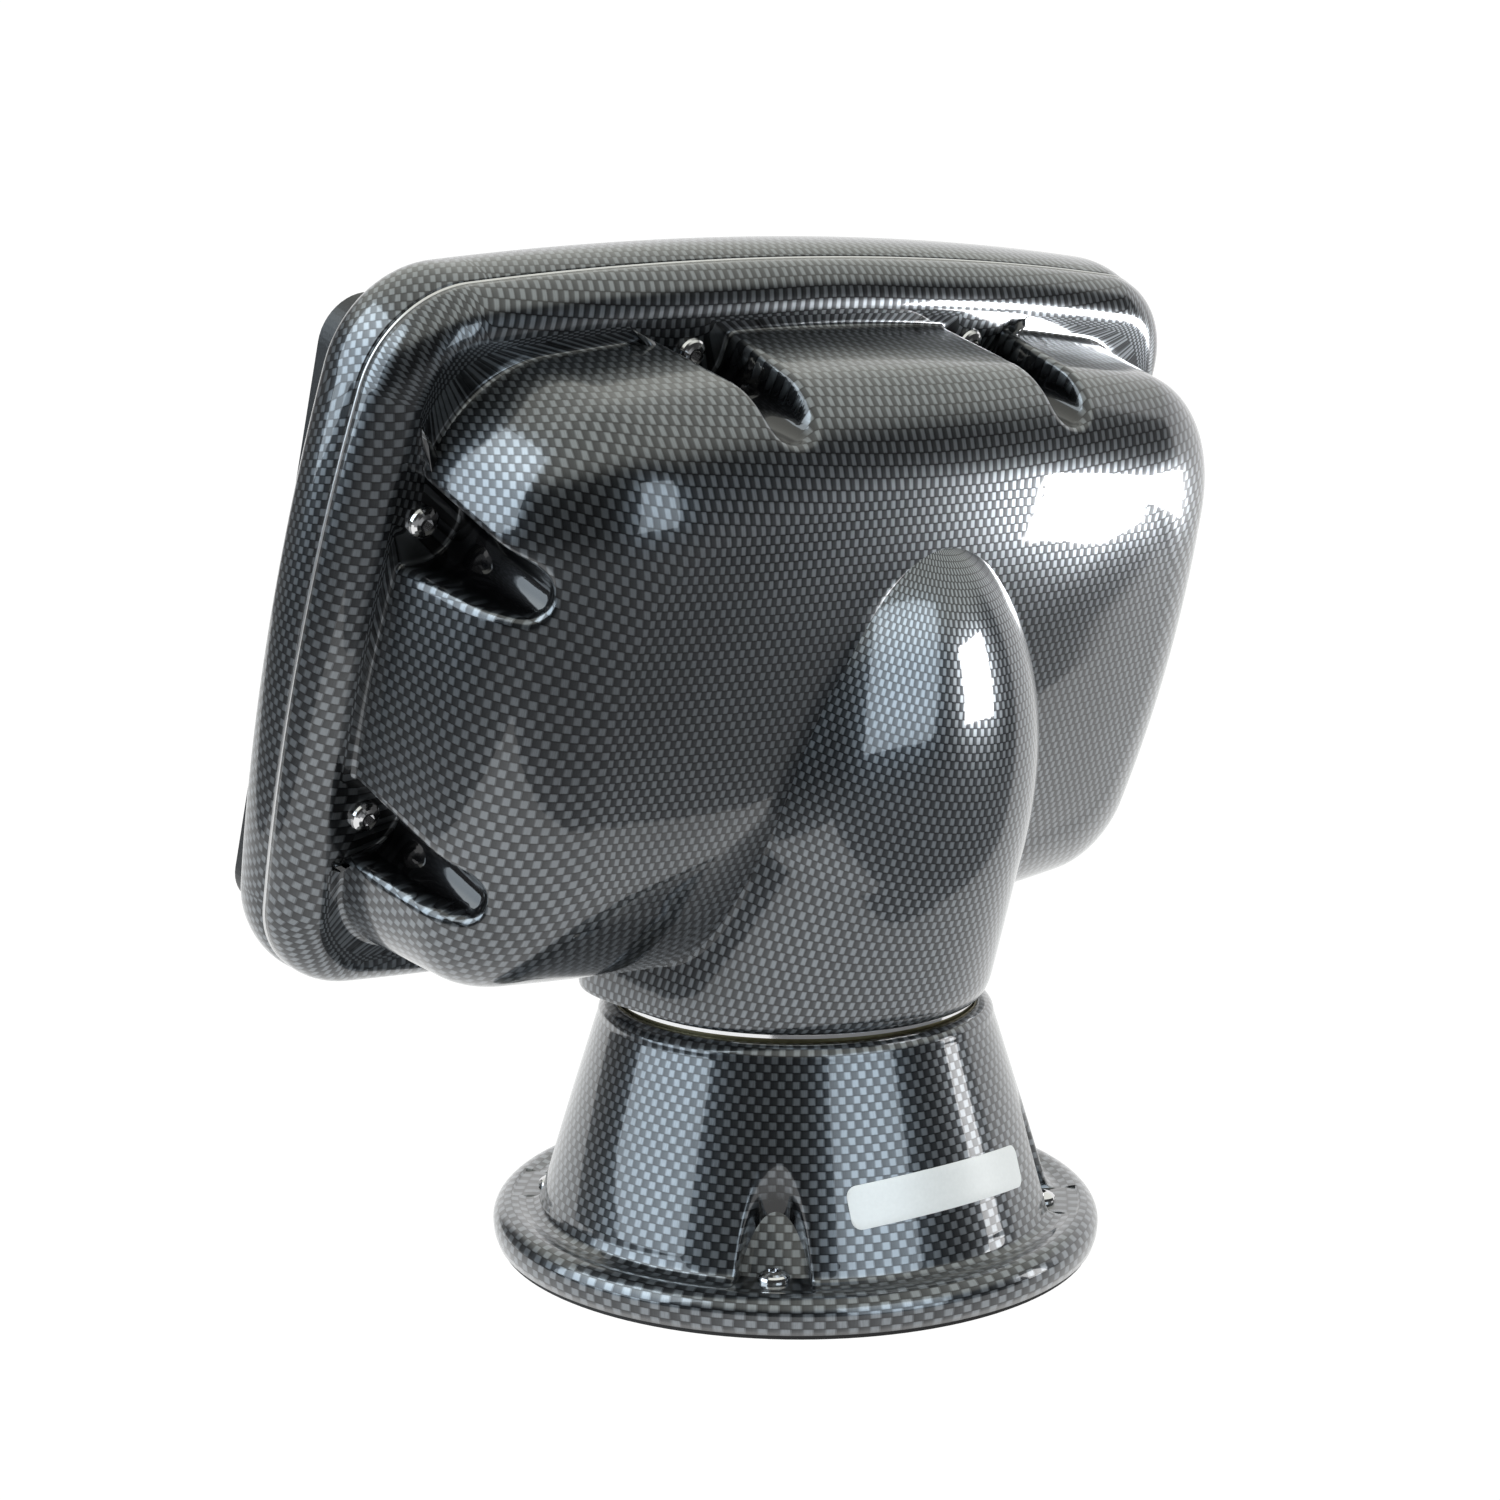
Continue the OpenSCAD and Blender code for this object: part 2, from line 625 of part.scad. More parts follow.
// A flat frame along the trim line, its outer and inner edges drawn in by margins.
module trim_frame(back, thick, outer, inner) {
    translate([0, back, 0]) rotate([90, 0, 0]) linear_extrude(thick) difference() {
        polygon(outline(head_a - outer, head_b - outer, head_b - outer, head_r - outer,
            head_r - outer, head_side_crown, head_top_crown));
        polygon(outline(head_a - inner, head_b - inner, head_b - inner, head_r - inner,
            head_r - inner, head_side_crown, head_top_crown));
    }
}

module trim_gasket() {
    color([0.80, 0.81, 0.82]) in_head() trim_frame(-seat, trim_t - 2 * seat, 0.2, wall + 1);
}

// Rings of the bezel from its convex front to the trim line.
function bezel_rings(skin) =
    let (mid = -bezel_t / 2, slope = tan(screen_tilt))
    [head_ring(skin - bezel_t, bezel_round, slope),
     head_ring(skin + 0.8 - bezel_t, skin + bezel_round * 0.45, slope),
     head_ring(skin + 2.6 - bezel_t, skin + bezel_round * 0.18, slope),
     head_ring(5.2 - bezel_t, skin, slope * 0.8),
     head_ring(mid, skin - bezel_bulge * 0.85, slope * 0.6),
     head_ring(mid / 2 - 1.5, skin - bezel_bulge, slope * 0.3),
     head_ring(skin == 0 ? -trim_t : 0, skin == 0 ? 0.1 : skin - 0.4)];

module front_bezel() {
    color([0.05, 0.05, 0.06]) in_head() difference() {
        union() {
            difference() {
                loft(bezel_rings(0));
                loft(bezel_rings(wall));
            }
            for (p = screw_places) let (y = 1 - bezel_t - tan(screen_tilt) * p[1]) hull() {
                translate([p[0], y, p[1]]) rotate([-90, 0, 0])
                    cylinder(h = 4, r = boss_r + 1.5, $fn = 20);
                translate([p[0], y + 7, p[1]]) rotate([-90, 0, 0])
                    cylinder(h = flange_face - seat - y - 7, r = boss_r, $fn = 20);
            }
        }
        head_holes(flange_face - insert_l - 6, flange_face + 1, insert_r + seat);
        rotate([screen_tilt, 0, 0]) {
            slab(-bezel_t - 2, 2 - bezel_t + wall, case_a + case_play, case_b + case_play, 8);
            for (p = stud_places) peg(p, -bezel_t - 1, bezel_t, screw_r + screw_play);
        }
    }
}

// A rounded rectangular slab across the head, from depth front to depth back.
module slab(front, back, a, b, r) {
    translate([0, back, 0]) rotate([90, 0, 0]) linear_extrude(back - front)
        offset(r = r, $fn = 48) square([2 * (a - r), 2 * (b - r)], center = true);
}

// A round peg along y, from depth front, of a length.
module peg(place, front, length, r) {
    translate([place[0], front, place[1]]) rotate([-90, 0, 0]) cylinder(h = length, r = r, $fn = 32);
}

module screw_inserts() {
    color([0.76, 0.62, 0.32]) in_head() for (p = screw_places) difference() {
        peg(p, flange_face - 0.1 - insert_l, insert_l, insert_r);
        peg(p, flange_face - insert_l - 1, insert_l + 2, screw_r + seat);
    }
}

module head_screws() {
    in_head() for (p = screw_places) translate([p[0], rim_r, p[1]]) rotate([-90, 0, 0])
        pan_screw(screw_r, screw_len);
}

// ---- display, clamped into the bezel ----

module display_gasket() {
    color([0.04, 0.04, 0.04]) in_screen() difference() {
        slab(disp_back + seat, -bezel_t - seat, disp_a - 2, disp_b - 2, disp_r - 2);
        slab(disp_back - 1, 1 - bezel_t, case_a + case_play, case_b + case_play, 8);
        peg([key_x, key_z], disp_back - 1, 3, key_r + 2.2);
        for (p = stud_places) peg(p, disp_back - 1, 3, screw_r + screw_play);
    }
}

module display_frame() {
    color([0.05, 0.05, 0.06]) in_screen() difference() {
        union() {
            slab(disp_front + 1, disp_back, disp_a, disp_b, disp_r);
            slab(disp_front, disp_front + 1, disp_a - 1, disp_b - 1, disp_r - 1);
        }
        slab(disp_front - 1, disp_front + glass_t, glass_a, glass_b, 5);
        slab(disp_front, disp_back + 1, glass_a - 4, glass_b - 4, 4);
        peg([key_x, key_z], disp_front - 1, disp_t + 2, key_r + key_play);
        peg([key_x, key_z], disp_back - 3, 4, key_r + 1.4);
        for (p = stud_places) peg(p, disp_back - 5, 6, screw_r + seat);
    }
}

module display_glass() {
    color([0.02, 0.03, 0.04, 0.9]) in_screen() slab(disp_front + 0.15, disp_front + glass_t - seat,
        glass_a - 0.2, glass_b - 0.2, 4.8);
}

module display_panel() {
    color([0.15, 0.16, 0.18]) in_screen() slab(disp_front + glass_t + seat, disp_back - 0.2,
        glass_a - 4.3, glass_b - 4.3, 3.5);
}

// Rear case of the display, with cooling ribs on its back.
module display_case() {
    color([0.10, 0.10, 0.11]) in_screen() difference() {
        union() {
            slab(disp_back + seat, case_back - 6, case_a, case_b, 7);
            slab(case_back - 7, case_back - 4, case_a - 3, case_b - 3, 5);
            for (i = [-ribs:ribs]) if (abs(i) > 3) translate([i * rib_step, case_back - 4.5, 0])
                cube([2.4, 9, 2 * case_b - 16], center = true);
        }
        slab(disp_back - 1, case_back - 10, case_a - wall, case_b - wall, 5);
        for (i = [-1:1]) peg([i * socket_step, socket_z], case_back - 12, 14, 8.1);
    }
}

module main_board() {
    color([0.08, 0.30, 0.14]) in_screen() {
        slab(disp_back + 12, disp_back + 13.6, case_a - 8, case_b - 8, 2);
        for (x = [-1, 1]) for (z = [-1, 1])
            peg([x * (case_a - 16), z * (case_b - 16)], disp_back - 0.15, 12.5, 3.2);
        for (c = [[-0.16, -0.14, 0.33, 3], [0.41, -0.53, 0.26, 5], [-0.71, 0.13, 0.3, 4]])
            translate([c[0] * case_a, disp_back + 13, c[1] * case_b])
                cube([c[2] * case_a, c[3], 0.45 * case_b]);
    }
}

module display_studs() {
    color([0.80, 0.80, 0.80]) in_screen() for (p = stud_places)
        peg(p, disp_back - 4.8, 17 + bezel_gasket_t, screw_r);
}

// Knurled thumb nuts that clamp the display from inside the pod.
module display_nuts() {
    color([0.76, 0.62, 0.32]) in_screen() for (p = stud_places) difference() {
        union() {
            peg(p, wall + seat - bezel_t, 2, 5.4);
            peg(p, wall + 1.5 - bezel_t, 5, 4);
        }
        peg(p, -bezel_t, bezel_t, screw_r + seat);
    }
}

module lead_sockets() {
    color([0.20, 0.20, 0.22]) in_screen() for (i = [-1:1]) let (p = [i * socket_step, socket_z])
        difference() {
            union() {
                peg(p, case_back - 11, 14, 8);
                peg(p, case_back - 4 + seat, 3, 9.6);
            }
            peg(p, case_back - 6, 12, 6);
            translate([p[0] + 5, case_back - 7, socket_z - 1]) cube([3, 13, 2]);
        }
}

// Silicone dome behind the key: it stops the key and pushes it back.
module key_dome() {
    color([0.55, 0.55, 0.56]) in_screen() difference() {
        peg([key_x, key_z], disp_back - 0.8, 0.8 + bezel_gasket_t - seat, key_r);
        peg([key_x, key_z], disp_back - 0.4, 2, key_r - 1.5);
    }
}

// Power key, pressed along y by key_travel.
module power_key() {
    color([0.12, 0.12, 0.13]) in_screen() difference() {
        union() {
            peg([key_x, key_z], disp_front - 0.9, disp_t - 1.2, key_r);
            peg([key_x, key_z], disp_back - 3 + seat, 1.2, key_r + 1);
        }
        difference() {
            peg([key_x, key_z], disp_front - 1.2, 0.6, 3);
            peg([key_x, key_z], disp_front - 1.4, 1, 2.3);
            translate([key_x - 1, disp_front - 1.5, key_z + 1]) cube([2, 2, 4]);
        }
    }
}

base_housing();
base_gasket();
deck_ring();
base_screws();
swivel_collar();
collar_screws();
bearing_ring();
stop_pin();
thrust_washer();
friction_washer();
spindle_nut();
spindle();
spindle_bolts();
swivel_ring();
cable_grommet();
rear_shell();
trim_gasket();
front_bezel();
screw_inserts();
head_screws();
display_gasket();
display_frame();
display_case();
display_glass();
display_panel();
main_board();
display_studs();
display_nuts();
lead_sockets();
key_dome();
power_key();
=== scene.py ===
import math

import bpy
import numpy as np
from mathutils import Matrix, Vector
from mathutils.bvhtree import BVHTree


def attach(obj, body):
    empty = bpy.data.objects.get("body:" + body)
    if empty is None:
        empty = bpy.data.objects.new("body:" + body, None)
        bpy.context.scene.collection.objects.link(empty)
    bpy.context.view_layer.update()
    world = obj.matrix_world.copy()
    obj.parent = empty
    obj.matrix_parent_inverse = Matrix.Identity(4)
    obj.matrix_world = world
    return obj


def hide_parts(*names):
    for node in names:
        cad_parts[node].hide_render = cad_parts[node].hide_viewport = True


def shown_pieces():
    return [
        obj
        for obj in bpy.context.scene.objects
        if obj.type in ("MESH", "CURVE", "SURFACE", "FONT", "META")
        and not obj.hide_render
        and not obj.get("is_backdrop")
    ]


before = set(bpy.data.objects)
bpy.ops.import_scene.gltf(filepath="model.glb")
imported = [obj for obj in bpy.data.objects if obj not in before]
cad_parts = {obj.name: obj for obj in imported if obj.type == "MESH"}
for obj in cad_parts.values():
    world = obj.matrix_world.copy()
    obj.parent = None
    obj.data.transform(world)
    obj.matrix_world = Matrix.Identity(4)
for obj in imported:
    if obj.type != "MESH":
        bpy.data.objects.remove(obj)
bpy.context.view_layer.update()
mm = 0.001

# ---- camera ----
# A long lens stands behind the pod and to its right, a little above the head's middle. Its place
# and aim are settled by the outline, the screws and the swivel joint in the photograph.
W = H = 1500
cam_from = math.radians(41.55)              # how far round from straight behind
cam_down = math.radians(10.23)
cam_place = Vector((580.98, 633.98, 309.47)) * mm
cam_data = bpy.data.cameras.new("camera")
cam_data.sensor_fit = "AUTO"
cam_data.sensor_width = 36
cam_data.lens = 67.98
cam_data.clip_start = 0.05
cam_data.clip_end = 50
camera = bpy.data.objects.new("camera", cam_data)
bpy.context.scene.collection.objects.link(camera)
camera.location = cam_place
camera.rotation_mode = "QUATERNION"
camera.rotation_quaternion = Vector((
    -math.sin(cam_from) * math.cos(cam_down),
    -math.cos(cam_from) * math.cos(cam_down),
    -math.sin(cam_down))).to_track_quat("-Z", "Y")
bpy.context.scene.camera = camera

# ---- room ----
# The pod stands on a white table that only its gloss shows, on a page of even white. A backdrop
# hangs round its far side, the camera's side of the room is dark, and soft boxes light it.
bpy.context.scene.view_settings.view_transform = "Standard"


def white_paper(name, corners, faces, light):
    """A flat white sheet through corners that also gives light of its own."""
    paper = bpy.data.materials.new(name)
    paper.use_nodes = True
    shade = paper.node_tree.nodes["Principled BSDF"]
    shade.inputs["Base Color"].default_value = (0.15, 0.15, 0.15, 1)
    shade.inputs["Roughness"].default_value = 0.9
    shade.inputs["Emission Color"].default_value = (1, 1, 1, 1)
    shade.inputs["Emission Strength"].default_value = light
    mesh = bpy.data.meshes.new(name)
    mesh.from_pydata(corners, [], faces)
    mesh.materials.append(paper)
    sheet = bpy.data.objects.new(name, mesh)
    bpy.context.scene.collection.objects.link(sheet)
    sheet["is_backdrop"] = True
    return sheet


table_edge = 0.185                           # how far behind the swivel axis the table ends
table_end = 0.42                             # and how far to the pod's left
table_wide = 3.0
table = white_paper("table", [(-table_wide, -table_wide, 0), (table_end, -table_wide, 0),
                      (table_end, table_edge, 0), (-table_wide, table_edge, 0)], [(0, 1, 2, 3)], 0.80)
table.visible_camera = False                 # the picture's ground is the page's even white
page_far = 14.0
signs = (-1, 1)
page = white_paper(
    "page", [(x * page_far, y * page_far, z * page_far) for x in signs for y in signs for z in signs],
    [(0, 1, 3, 2), (4, 6, 7, 5), (0, 4, 5, 1), (2, 3, 7, 6), (0, 2, 6, 4), (1, 5, 7, 3)], 1.0)
page.visible_glossy = page.visible_diffuse = page.visible_shadow = False

to_camera = Vector((math.sin(cam_from), math.cos(cam_from), 0))
to_right = Vector((-math.cos(cam_from), math.sin(cam_from), 0))


def lit_group(name):
    """A group of pieces that some of the soft boxes light alone, as flags keep light off the rest."""
    return bpy.data.collections.new(name)


base_lit, neck_lit, tub_lit = lit_group("base_lit"), lit_group("neck_lit"), lit_group("tub_lit")


def soft_box(name, middle, turn, rise, far, turns, rises, glow, colour=(1, 1, 1), lights=None):
    """A soft box seen from a middle: turn and rise are degrees round from the camera to its right
    and up, far is its distance, turns and rises are the degrees it spans, glow its radiance."""
    way = (to_camera * math.cos(math.radians(turn)) + to_right * math.sin(math.radians(turn)))
    way = way * math.cos(math.radians(rise)) + Vector((0, 0, math.sin(math.radians(rise))))
    lamp = bpy.data.lights.new(name, "AREA")
    lamp.shape = "RECTANGLE"
    lamp.size = 2 * far * math.tan(math.radians(turns / 2))
    lamp.size_y = 2 * far * math.tan(math.radians(rises / 2))
    lamp.energy = glow * lamp.size * lamp.size_y * math.pi
    lamp.color = colour
    box = bpy.data.objects.new(name, lamp)
    box.location = Vector(middle) + way * far
    box.rotation_mode = "QUATERNION"
    box.rotation_quaternion = (-way).to_track_quat("-Z", "Y")
    bpy.context.scene.collection.objects.link(box)
    if lights:
        box.light_linking.receiver_collection = lights


# The places on the pod that the boxes are aimed at.
shoulder = (-0.07, 0.06, 0.225)
crown = (0.03, 0.10, 0.24)
bulb = (0.01, 0.08, 0.185)
cone = (0.03, 0.05, 0.055)
left_side = (0.14, 0.0, 0.23)
pale_blue = (0.78, 0.90, 1.0)
soft_box("window", left_side, turn=-75, rise=27, far=1.6, turns=54, rises=56, glow=2.7,
         colour=pale_blue)
soft_box("shoulder_box", shoulder, turn=103, rise=-7, far=0.5, turns=28, rises=12, glow=26,
         lights=tub_lit)
soft_box("crown_box", crown, turn=56, rise=3, far=1.2, turns=17, rises=26, glow=2.4,
         colour=pale_blue, lights=tub_lit)
soft_box("bulb_box", bulb, turn=68, rise=10, far=1.2, turns=30, rises=28, glow=16, lights=neck_lit)
soft_box("bulb_window", bulb, turn=5, rise=24, far=1.2, turns=52, rises=60, glow=2.6,
         colour=pale_blue, lights=neck_lit)
soft_box("cone_window", cone, turn=37, rise=18, far=1.2, turns=38, rises=40, glow=2.3,
         colour=pale_blue, lights=base_lit)
soft_box("cone_box", cone, turn=97, rise=10, far=1.2, turns=10, rises=24, glow=5, lights=base_lit)


def node_maker(owner):
    """Three short functions for a material's or world's nodes: they add a node with its settings, add
    a sum of numbers and sockets, and join two sockets."""
    tree = owner.node_tree

    def add(kind, **settings):
        made = tree.nodes.new(kind)
        for key, value in settings.items():
            setattr(made, key, value)
        return made

    def sum_of(operation, first, second=None, third=None):
        made = add("ShaderNodeMath", operation=operation)
        for socket, given in zip(made.inputs, (first, second, third)):
            if given is None:
                continue
            if isinstance(given, (int, float)):
                socket.default_value = given
            else:
                tree.links.new(given, socket)
        return made.outputs[0]

    return add, sum_of, tree.links.new


def noise(add, join, way, scale, detail=2):
    """A noise texture laid along way; returns how strong it is at each place."""
    made = add("ShaderNodeTexNoise")
    made.inputs["Scale"].default_value = scale
    made.inputs["Detail"].default_value = detail
    join(way, made.inputs["Vector"])
    return made.outputs["Fac"]


def ramp(add, join, socket, low, high, kind="SMOOTHSTEP"):
    """How far a socket's number has come from low to high, as 0 to 1. low may be the larger."""
    step = add("ShaderNodeMapRange", interpolation_type=kind)
    step.inputs["From Min"].default_value = low
    step.inputs["From Max"].default_value = high
    join(socket, step.inputs["Value"])
    return step.outputs["Result"]


def mix(add, join, share, first, second):
    """The colour that lies between two others by a share from 0 to 1."""
    made = add("ShaderNodeMix", data_type="RGBA")
    made.inputs["A"].default_value = (*first, 1)
    made.inputs["B"].default_value = (*second, 1)
    join(share, made.inputs["Factor"])
    return made.outputs["Result"]


world = bpy.data.worlds.new("studio")
bpy.context.scene.world = world
world.use_nodes = True
add, value, join = node_maker(world)
world_way = add("ShaderNodeSeparateXYZ")
join(add("ShaderNodeTexCoord").outputs["Generated"], world_way.inputs["Vector"])
world_turn = value("ARCTAN2", world_way.outputs["Y"], world_way.outputs["X"])
world_round = ramp(add, join, world_turn, -math.pi, math.pi, "LINEAR")
room_ring = add("ShaderNodeValToRGB")
join(world_round, room_ring.inputs["Fac"])
backdrop_from, backdrop_to = 161, 258        # degrees of the world's own turn, -180 to 180
backdrop_light = 0.75
ring_stops = [(backdrop_to - 360, backdrop_light), (backdrop_to - 350, 0.10), (-60, 0.08),
              (0, 0.03), (120, 0.03), (backdrop_from - 4, 0.05), (backdrop_from, backdrop_light)]
while len(room_ring.color_ramp.elements) < len(ring_stops):
    room_ring.color_ramp.elements.new(0.5)
for stop, (degrees, light) in zip(room_ring.color_ramp.elements, ring_stops):
    stop.position = (degrees + 180) / 360
    stop.color = (light, light, light, 1)
ceiling_from, ceiling_full = 0.35, 0.65      # as sines of the angle above level
floor_from, floor_full = -0.12, -0.35        # the far floor, below the table's edge
world_up = world_way.outputs["Z"]
ceiling = add("ShaderNodeMix", data_type="RGBA")
ceiling.inputs["B"].default_value = (0.68, 0.69, 0.64, 1)
join(ramp(add, join, world_up, ceiling_from, ceiling_full), ceiling.inputs["Factor"])
join(room_ring.outputs["Color"], ceiling.inputs["A"])
far_floor = add("ShaderNodeMix", data_type="RGBA", blend_type="LIGHTEN")
far_floor.inputs["B"].default_value = (0.20, 0.205, 0.21, 1)
join(ramp(add, join, world_up, floor_from, floor_full, "LINEAR"), far_floor.inputs["Factor"])
join(ceiling.outputs["Result"], far_floor.inputs["A"])
room_light = world.node_tree.nodes["Background"]
room_light.inputs["Strength"].default_value = 1.3
join(far_floor.outputs["Result"], room_light.inputs["Color"])


# ---- base housing ----
# A moulded cone with a broad foot and a rolled outer edge, in glossy black resin over a film printed
# with a twill weave. Four screw recesses are sunk in its foot and run out of the cone as arches.
def weave_finish(name, seam=(0.003, 0.003, 0.004), yarn=(0.225, 0.245, 0.265)):
    """Printed twill under clear gloss. The print's own coordinates count cells, in rows round the
    piece: every second cell of a row is light, and stands over a dark one of the row below. A light
    cell starts sharply at its left, fades to its right and is dark at its top and foot."""
    material = bpy.data.materials.new(name)
    material.use_nodes = True
    add, value, join = node_maker(material)
    shade = material.node_tree.nodes["Principled BSDF"]
    film = add("ShaderNodeUVMap", uv_map="film")
    split = add("ShaderNodeSeparateXYZ")
    join(film.outputs["UV"], split.inputs["Vector"])
    stray = 0.35                             # cells from the furthest left a row shifts to the right
    wander = noise(add, join, film.outputs["UV"], scale=0.35, detail=1)
    off_line = value("MULTIPLY", value("SUBTRACT", wander, 0.5), stray)
    across = value("ADD", split.outputs["X"], off_line)
    row = value("FLOOR", split.outputs["Y"])
    brick = value("MULTIPLY", value("ADD", across, value("FLOORED_MODULO", row, 2.0)), 0.5)
    cell_x = value("SUBTRACT", brick, value("FLOOR", brick))
    cell_y = value("SUBTRACT", split.outputs["Y"], row)
    light_from, light_full = 0.02, 0.10      # shares of a light and a dark cell together
    fade_from, fade_to = 0.36, 0.62
    dark_start, dark_slope = 0.42, -0.34     # the glow that the dark cell keeps
    end_power = 7.0                          # a high power keeps the dark ends short
    bar = value("MULTIPLY", ramp(add, join, cell_x, light_from, light_full),
                ramp(add, join, cell_x, fade_to, fade_from))
    floor_light = value("MULTIPLY_ADD", cell_x, dark_slope, dark_start)
    ends = value("SUBTRACT", 1.0, value("POWER", value("ABSOLUTE", value(
        "MULTIPLY_ADD", cell_y, 2.0, -1.0)), end_power))
    glow = value("MULTIPLY", value("MAXIMUM", bar, floor_light), ends)
    strand = add("ShaderNodeMapping")        # strands run along the cells' height
    strand.inputs["Scale"].default_value = (7.0, 0.8, 1.0)
    join(film.outputs["UV"], strand.inputs["Vector"])
    strand_least, strand_more = 0.55, 0.9
    strands = noise(add, join, strand.outputs["Vector"], scale=1.0, detail=3)
    glow = value("MULTIPLY", glow, value("MULTIPLY_ADD", strands, strand_more, strand_least))
    place = add("ShaderNodeTexCoord")
    wash_least, wash_more = 0.6, 0.8         # the print's slow change of strength over a piece
    wash = noise(add, join, place.outputs["Object"], scale=16)
    glow = value("MULTIPLY", glow, value("MULTIPLY_ADD", wash, wash_more, wash_least))
    # The print goes darker towards its seam colour where the mesh's darkening attribute is high, deep in
    # the recesses and channels.
    depth_darkening = add("ShaderNodeAttribute", attribute_name="sunk_dark")
    glow = value("MULTIPLY", glow, value("MULTIPLY_ADD", depth_darkening.outputs["Fac"], -1.0, 1.0))
    join(mix(add, join, glow, seam, yarn), shade.inputs["Base Color"])
    peel = noise(add, join, place.outputs["Object"], scale=220, detail=1)
    skin = add("ShaderNodeBump")
    skin.inputs["Strength"].default_value = 0.05
    skin.inputs["Distance"].default_value = 0.0004
    join(peel, skin.inputs["Height"])
    join(skin.outputs["Normal"], shade.inputs["Coat Normal"])
    shade.inputs["Metallic"].default_value = 0.8
    shade.inputs["Roughness"].default_value = 0.28
    shade.inputs["IOR"].default_value = 1.5
    shade.inputs["Coat Weight"].default_value = 1.0
    shade.inputs["Coat Roughness"].default_value = 0.035
    shade.inputs["Coat IOR"].default_value = 1.6
    return material


cell_wide = 1.70 * mm
cell_tall = 2.38 * mm
weave = weave_finish("weave_gloss")


def skin_piece(name, places, film, material, first_cap=False, last_cap=False, ring=False, sunk_dark=None):
    """A mesh through a grid of places, rows by columns, closed round the columns. film holds the
    print's coordinates, with one more column than places so that the print joins at the seam.
    A cap closes the first or last row with one face, and ring joins the last row to the first. The
    last argument says how far the print is darkened towards its seam colour at each place, from 0 to 1."""
    rows, cols = places.shape[:2]
    steps = rows if ring else rows - 1
    i, j = np.meshgrid(np.arange(steps), np.arange(cols), indexing="ij")
    k, n = (j + 1) % cols, (i + 1) % rows
    quads = np.stack([i * cols + j, n * cols + j, n * cols + k, i * cols + k], -1).reshape(-1, 4)
    prints = np.stack([film[i, j], film[n, j], film[n, j + 1], film[i, j + 1]], 2).reshape(-1, 2)
    faces = quads.tolist()
    around = np.arange(cols)
    if first_cap:
        faces.append(around.tolist())
        prints = np.vstack([prints, film[0, :cols]])
    if last_cap:
        faces.append((around[::-1] + (rows - 1) * cols).tolist())
        prints = np.vstack([prints, film[-1, :cols][::-1]])
    mesh = bpy.data.meshes.new(name)
    mesh.from_pydata(places.reshape(-1, 3).tolist(), [], faces)
    layer = mesh.uv_layers.new(name="film")
    layer.data.foreach_set("uv", np.ascontiguousarray(prints, dtype=np.float32).ravel())
    mesh.polygons.foreach_set("use_smooth", np.ones(len(faces), dtype=bool))
    depth_darkening = np.zeros((rows, cols)) if sunk_dark is None else sunk_dark
    mesh.attributes.new("sunk_dark", "FLOAT", "POINT").data.foreach_set(
        "value", np.ascontiguousarray(depth_darkening, dtype=np.float32).ravel())
    mesh.materials.append(material)
    piece = bpy.data.objects.new(name, mesh)
    bpy.context.scene.collection.objects.link(piece)
    return piece


def smooth_max(a, b, soft):
    """The larger of a and b, rounded over where they are within soft of each other."""
    near = np.maximum(soft - np.abs(a - b), 0)
    return np.maximum(a, b) + near * near / (4 * soft)


def halve(outside, low, high):
    """The place between low and high at which outside turns positive, found by halving 30 times."""
    for _ in range(30):
        middle = (low + high) / 2
        over = outside(middle) > 0
        high = np.where(over, middle, high)
        low = np.where(over, low, middle)
    return (low + high) / 2


def smooth_path(points, steps):
    """A Catmull-Rom curve through points, with a number of steps between each pair."""
    p = np.asarray(points, float)
    p = np.vstack([2 * p[0] - p[1], p, 2 * p[-1] - p[-2]])
    t = np.linspace(0, 1, steps, endpoint=False)[:, None]
    parts = [0.5 * (2 * p[i] + (p[i + 1] - p[i - 1]) * t
                    + (2 * p[i - 1] - 5 * p[i] + 4 * p[i + 1] - p[i + 2]) * t ** 2
                    + (3 * p[i] - p[i - 1] - 3 * p[i + 1] + p[i + 2]) * t ** 3)
             for i in range(1, len(p) - 2)]
    return np.vstack(parts + [p[-2:-1]])


foot_r = 95.5 * mm
foot_low = 1.5 * mm                         # top of the gasket
foot_top = 12.5 * mm
foot_floor = 11.6 * mm
foot_round = 6 * mm
cone_low_r = 80.2 * mm
cone_top_r = 61.9 * mm
cone_low = foot_floor + 2.6 * mm
lip_r = 4.4 * mm
lip_top = 77 * mm
cone_top = lip_top - lip_r
mouth_r = 56.1 * mm
base_wall = 3.5 * mm
base_turn = math.radians(43)
recess_ring = 77.5 * mm
recess_r = 10.8 * mm
recess_top_r = 6 * mm
recess_tall = 40 * mm
recess_soft = 2.6 * mm
base_cells = 184                            # columns of the print round the base

roll = np.radians(np.linspace(0, 90, 13))
foot_roll = np.stack([foot_r - foot_round * (1 - np.cos(roll)),
                      foot_top - foot_round * (1 - np.sin(roll))], -1)
foot_valley = smooth_path([
    (foot_r - foot_round - 0.3 * mm, foot_top),
    (foot_r - foot_round - 2 * mm, foot_top - 0.25 * mm),
    (foot_r - foot_round - 4.2 * mm, foot_floor + 0.1 * mm),
    (cone_low_r + 3.6 * mm, foot_floor),
    (cone_low_r + 1.7 * mm, foot_floor + 0.5 * mm),
    (cone_low_r + 0.5 * mm, foot_floor + 1.5 * mm),
    (cone_low_r - 0.6 * mm, foot_floor + 4.2 * mm)], 5)
cone_run = np.linspace(foot_floor + 5 * mm, cone_top, 56)
cone_line = np.stack([cone_low_r + (cone_top_r - cone_low_r) * (cone_run - cone_low)
                      / (cone_top - cone_low), cone_run], -1)
lip_turn = np.radians(np.linspace(8, 90, 9))
lip = np.stack([cone_top_r - lip_r * (1 - np.cos(lip_turn)), cone_top + lip_r * np.sin(lip_turn)], -1)
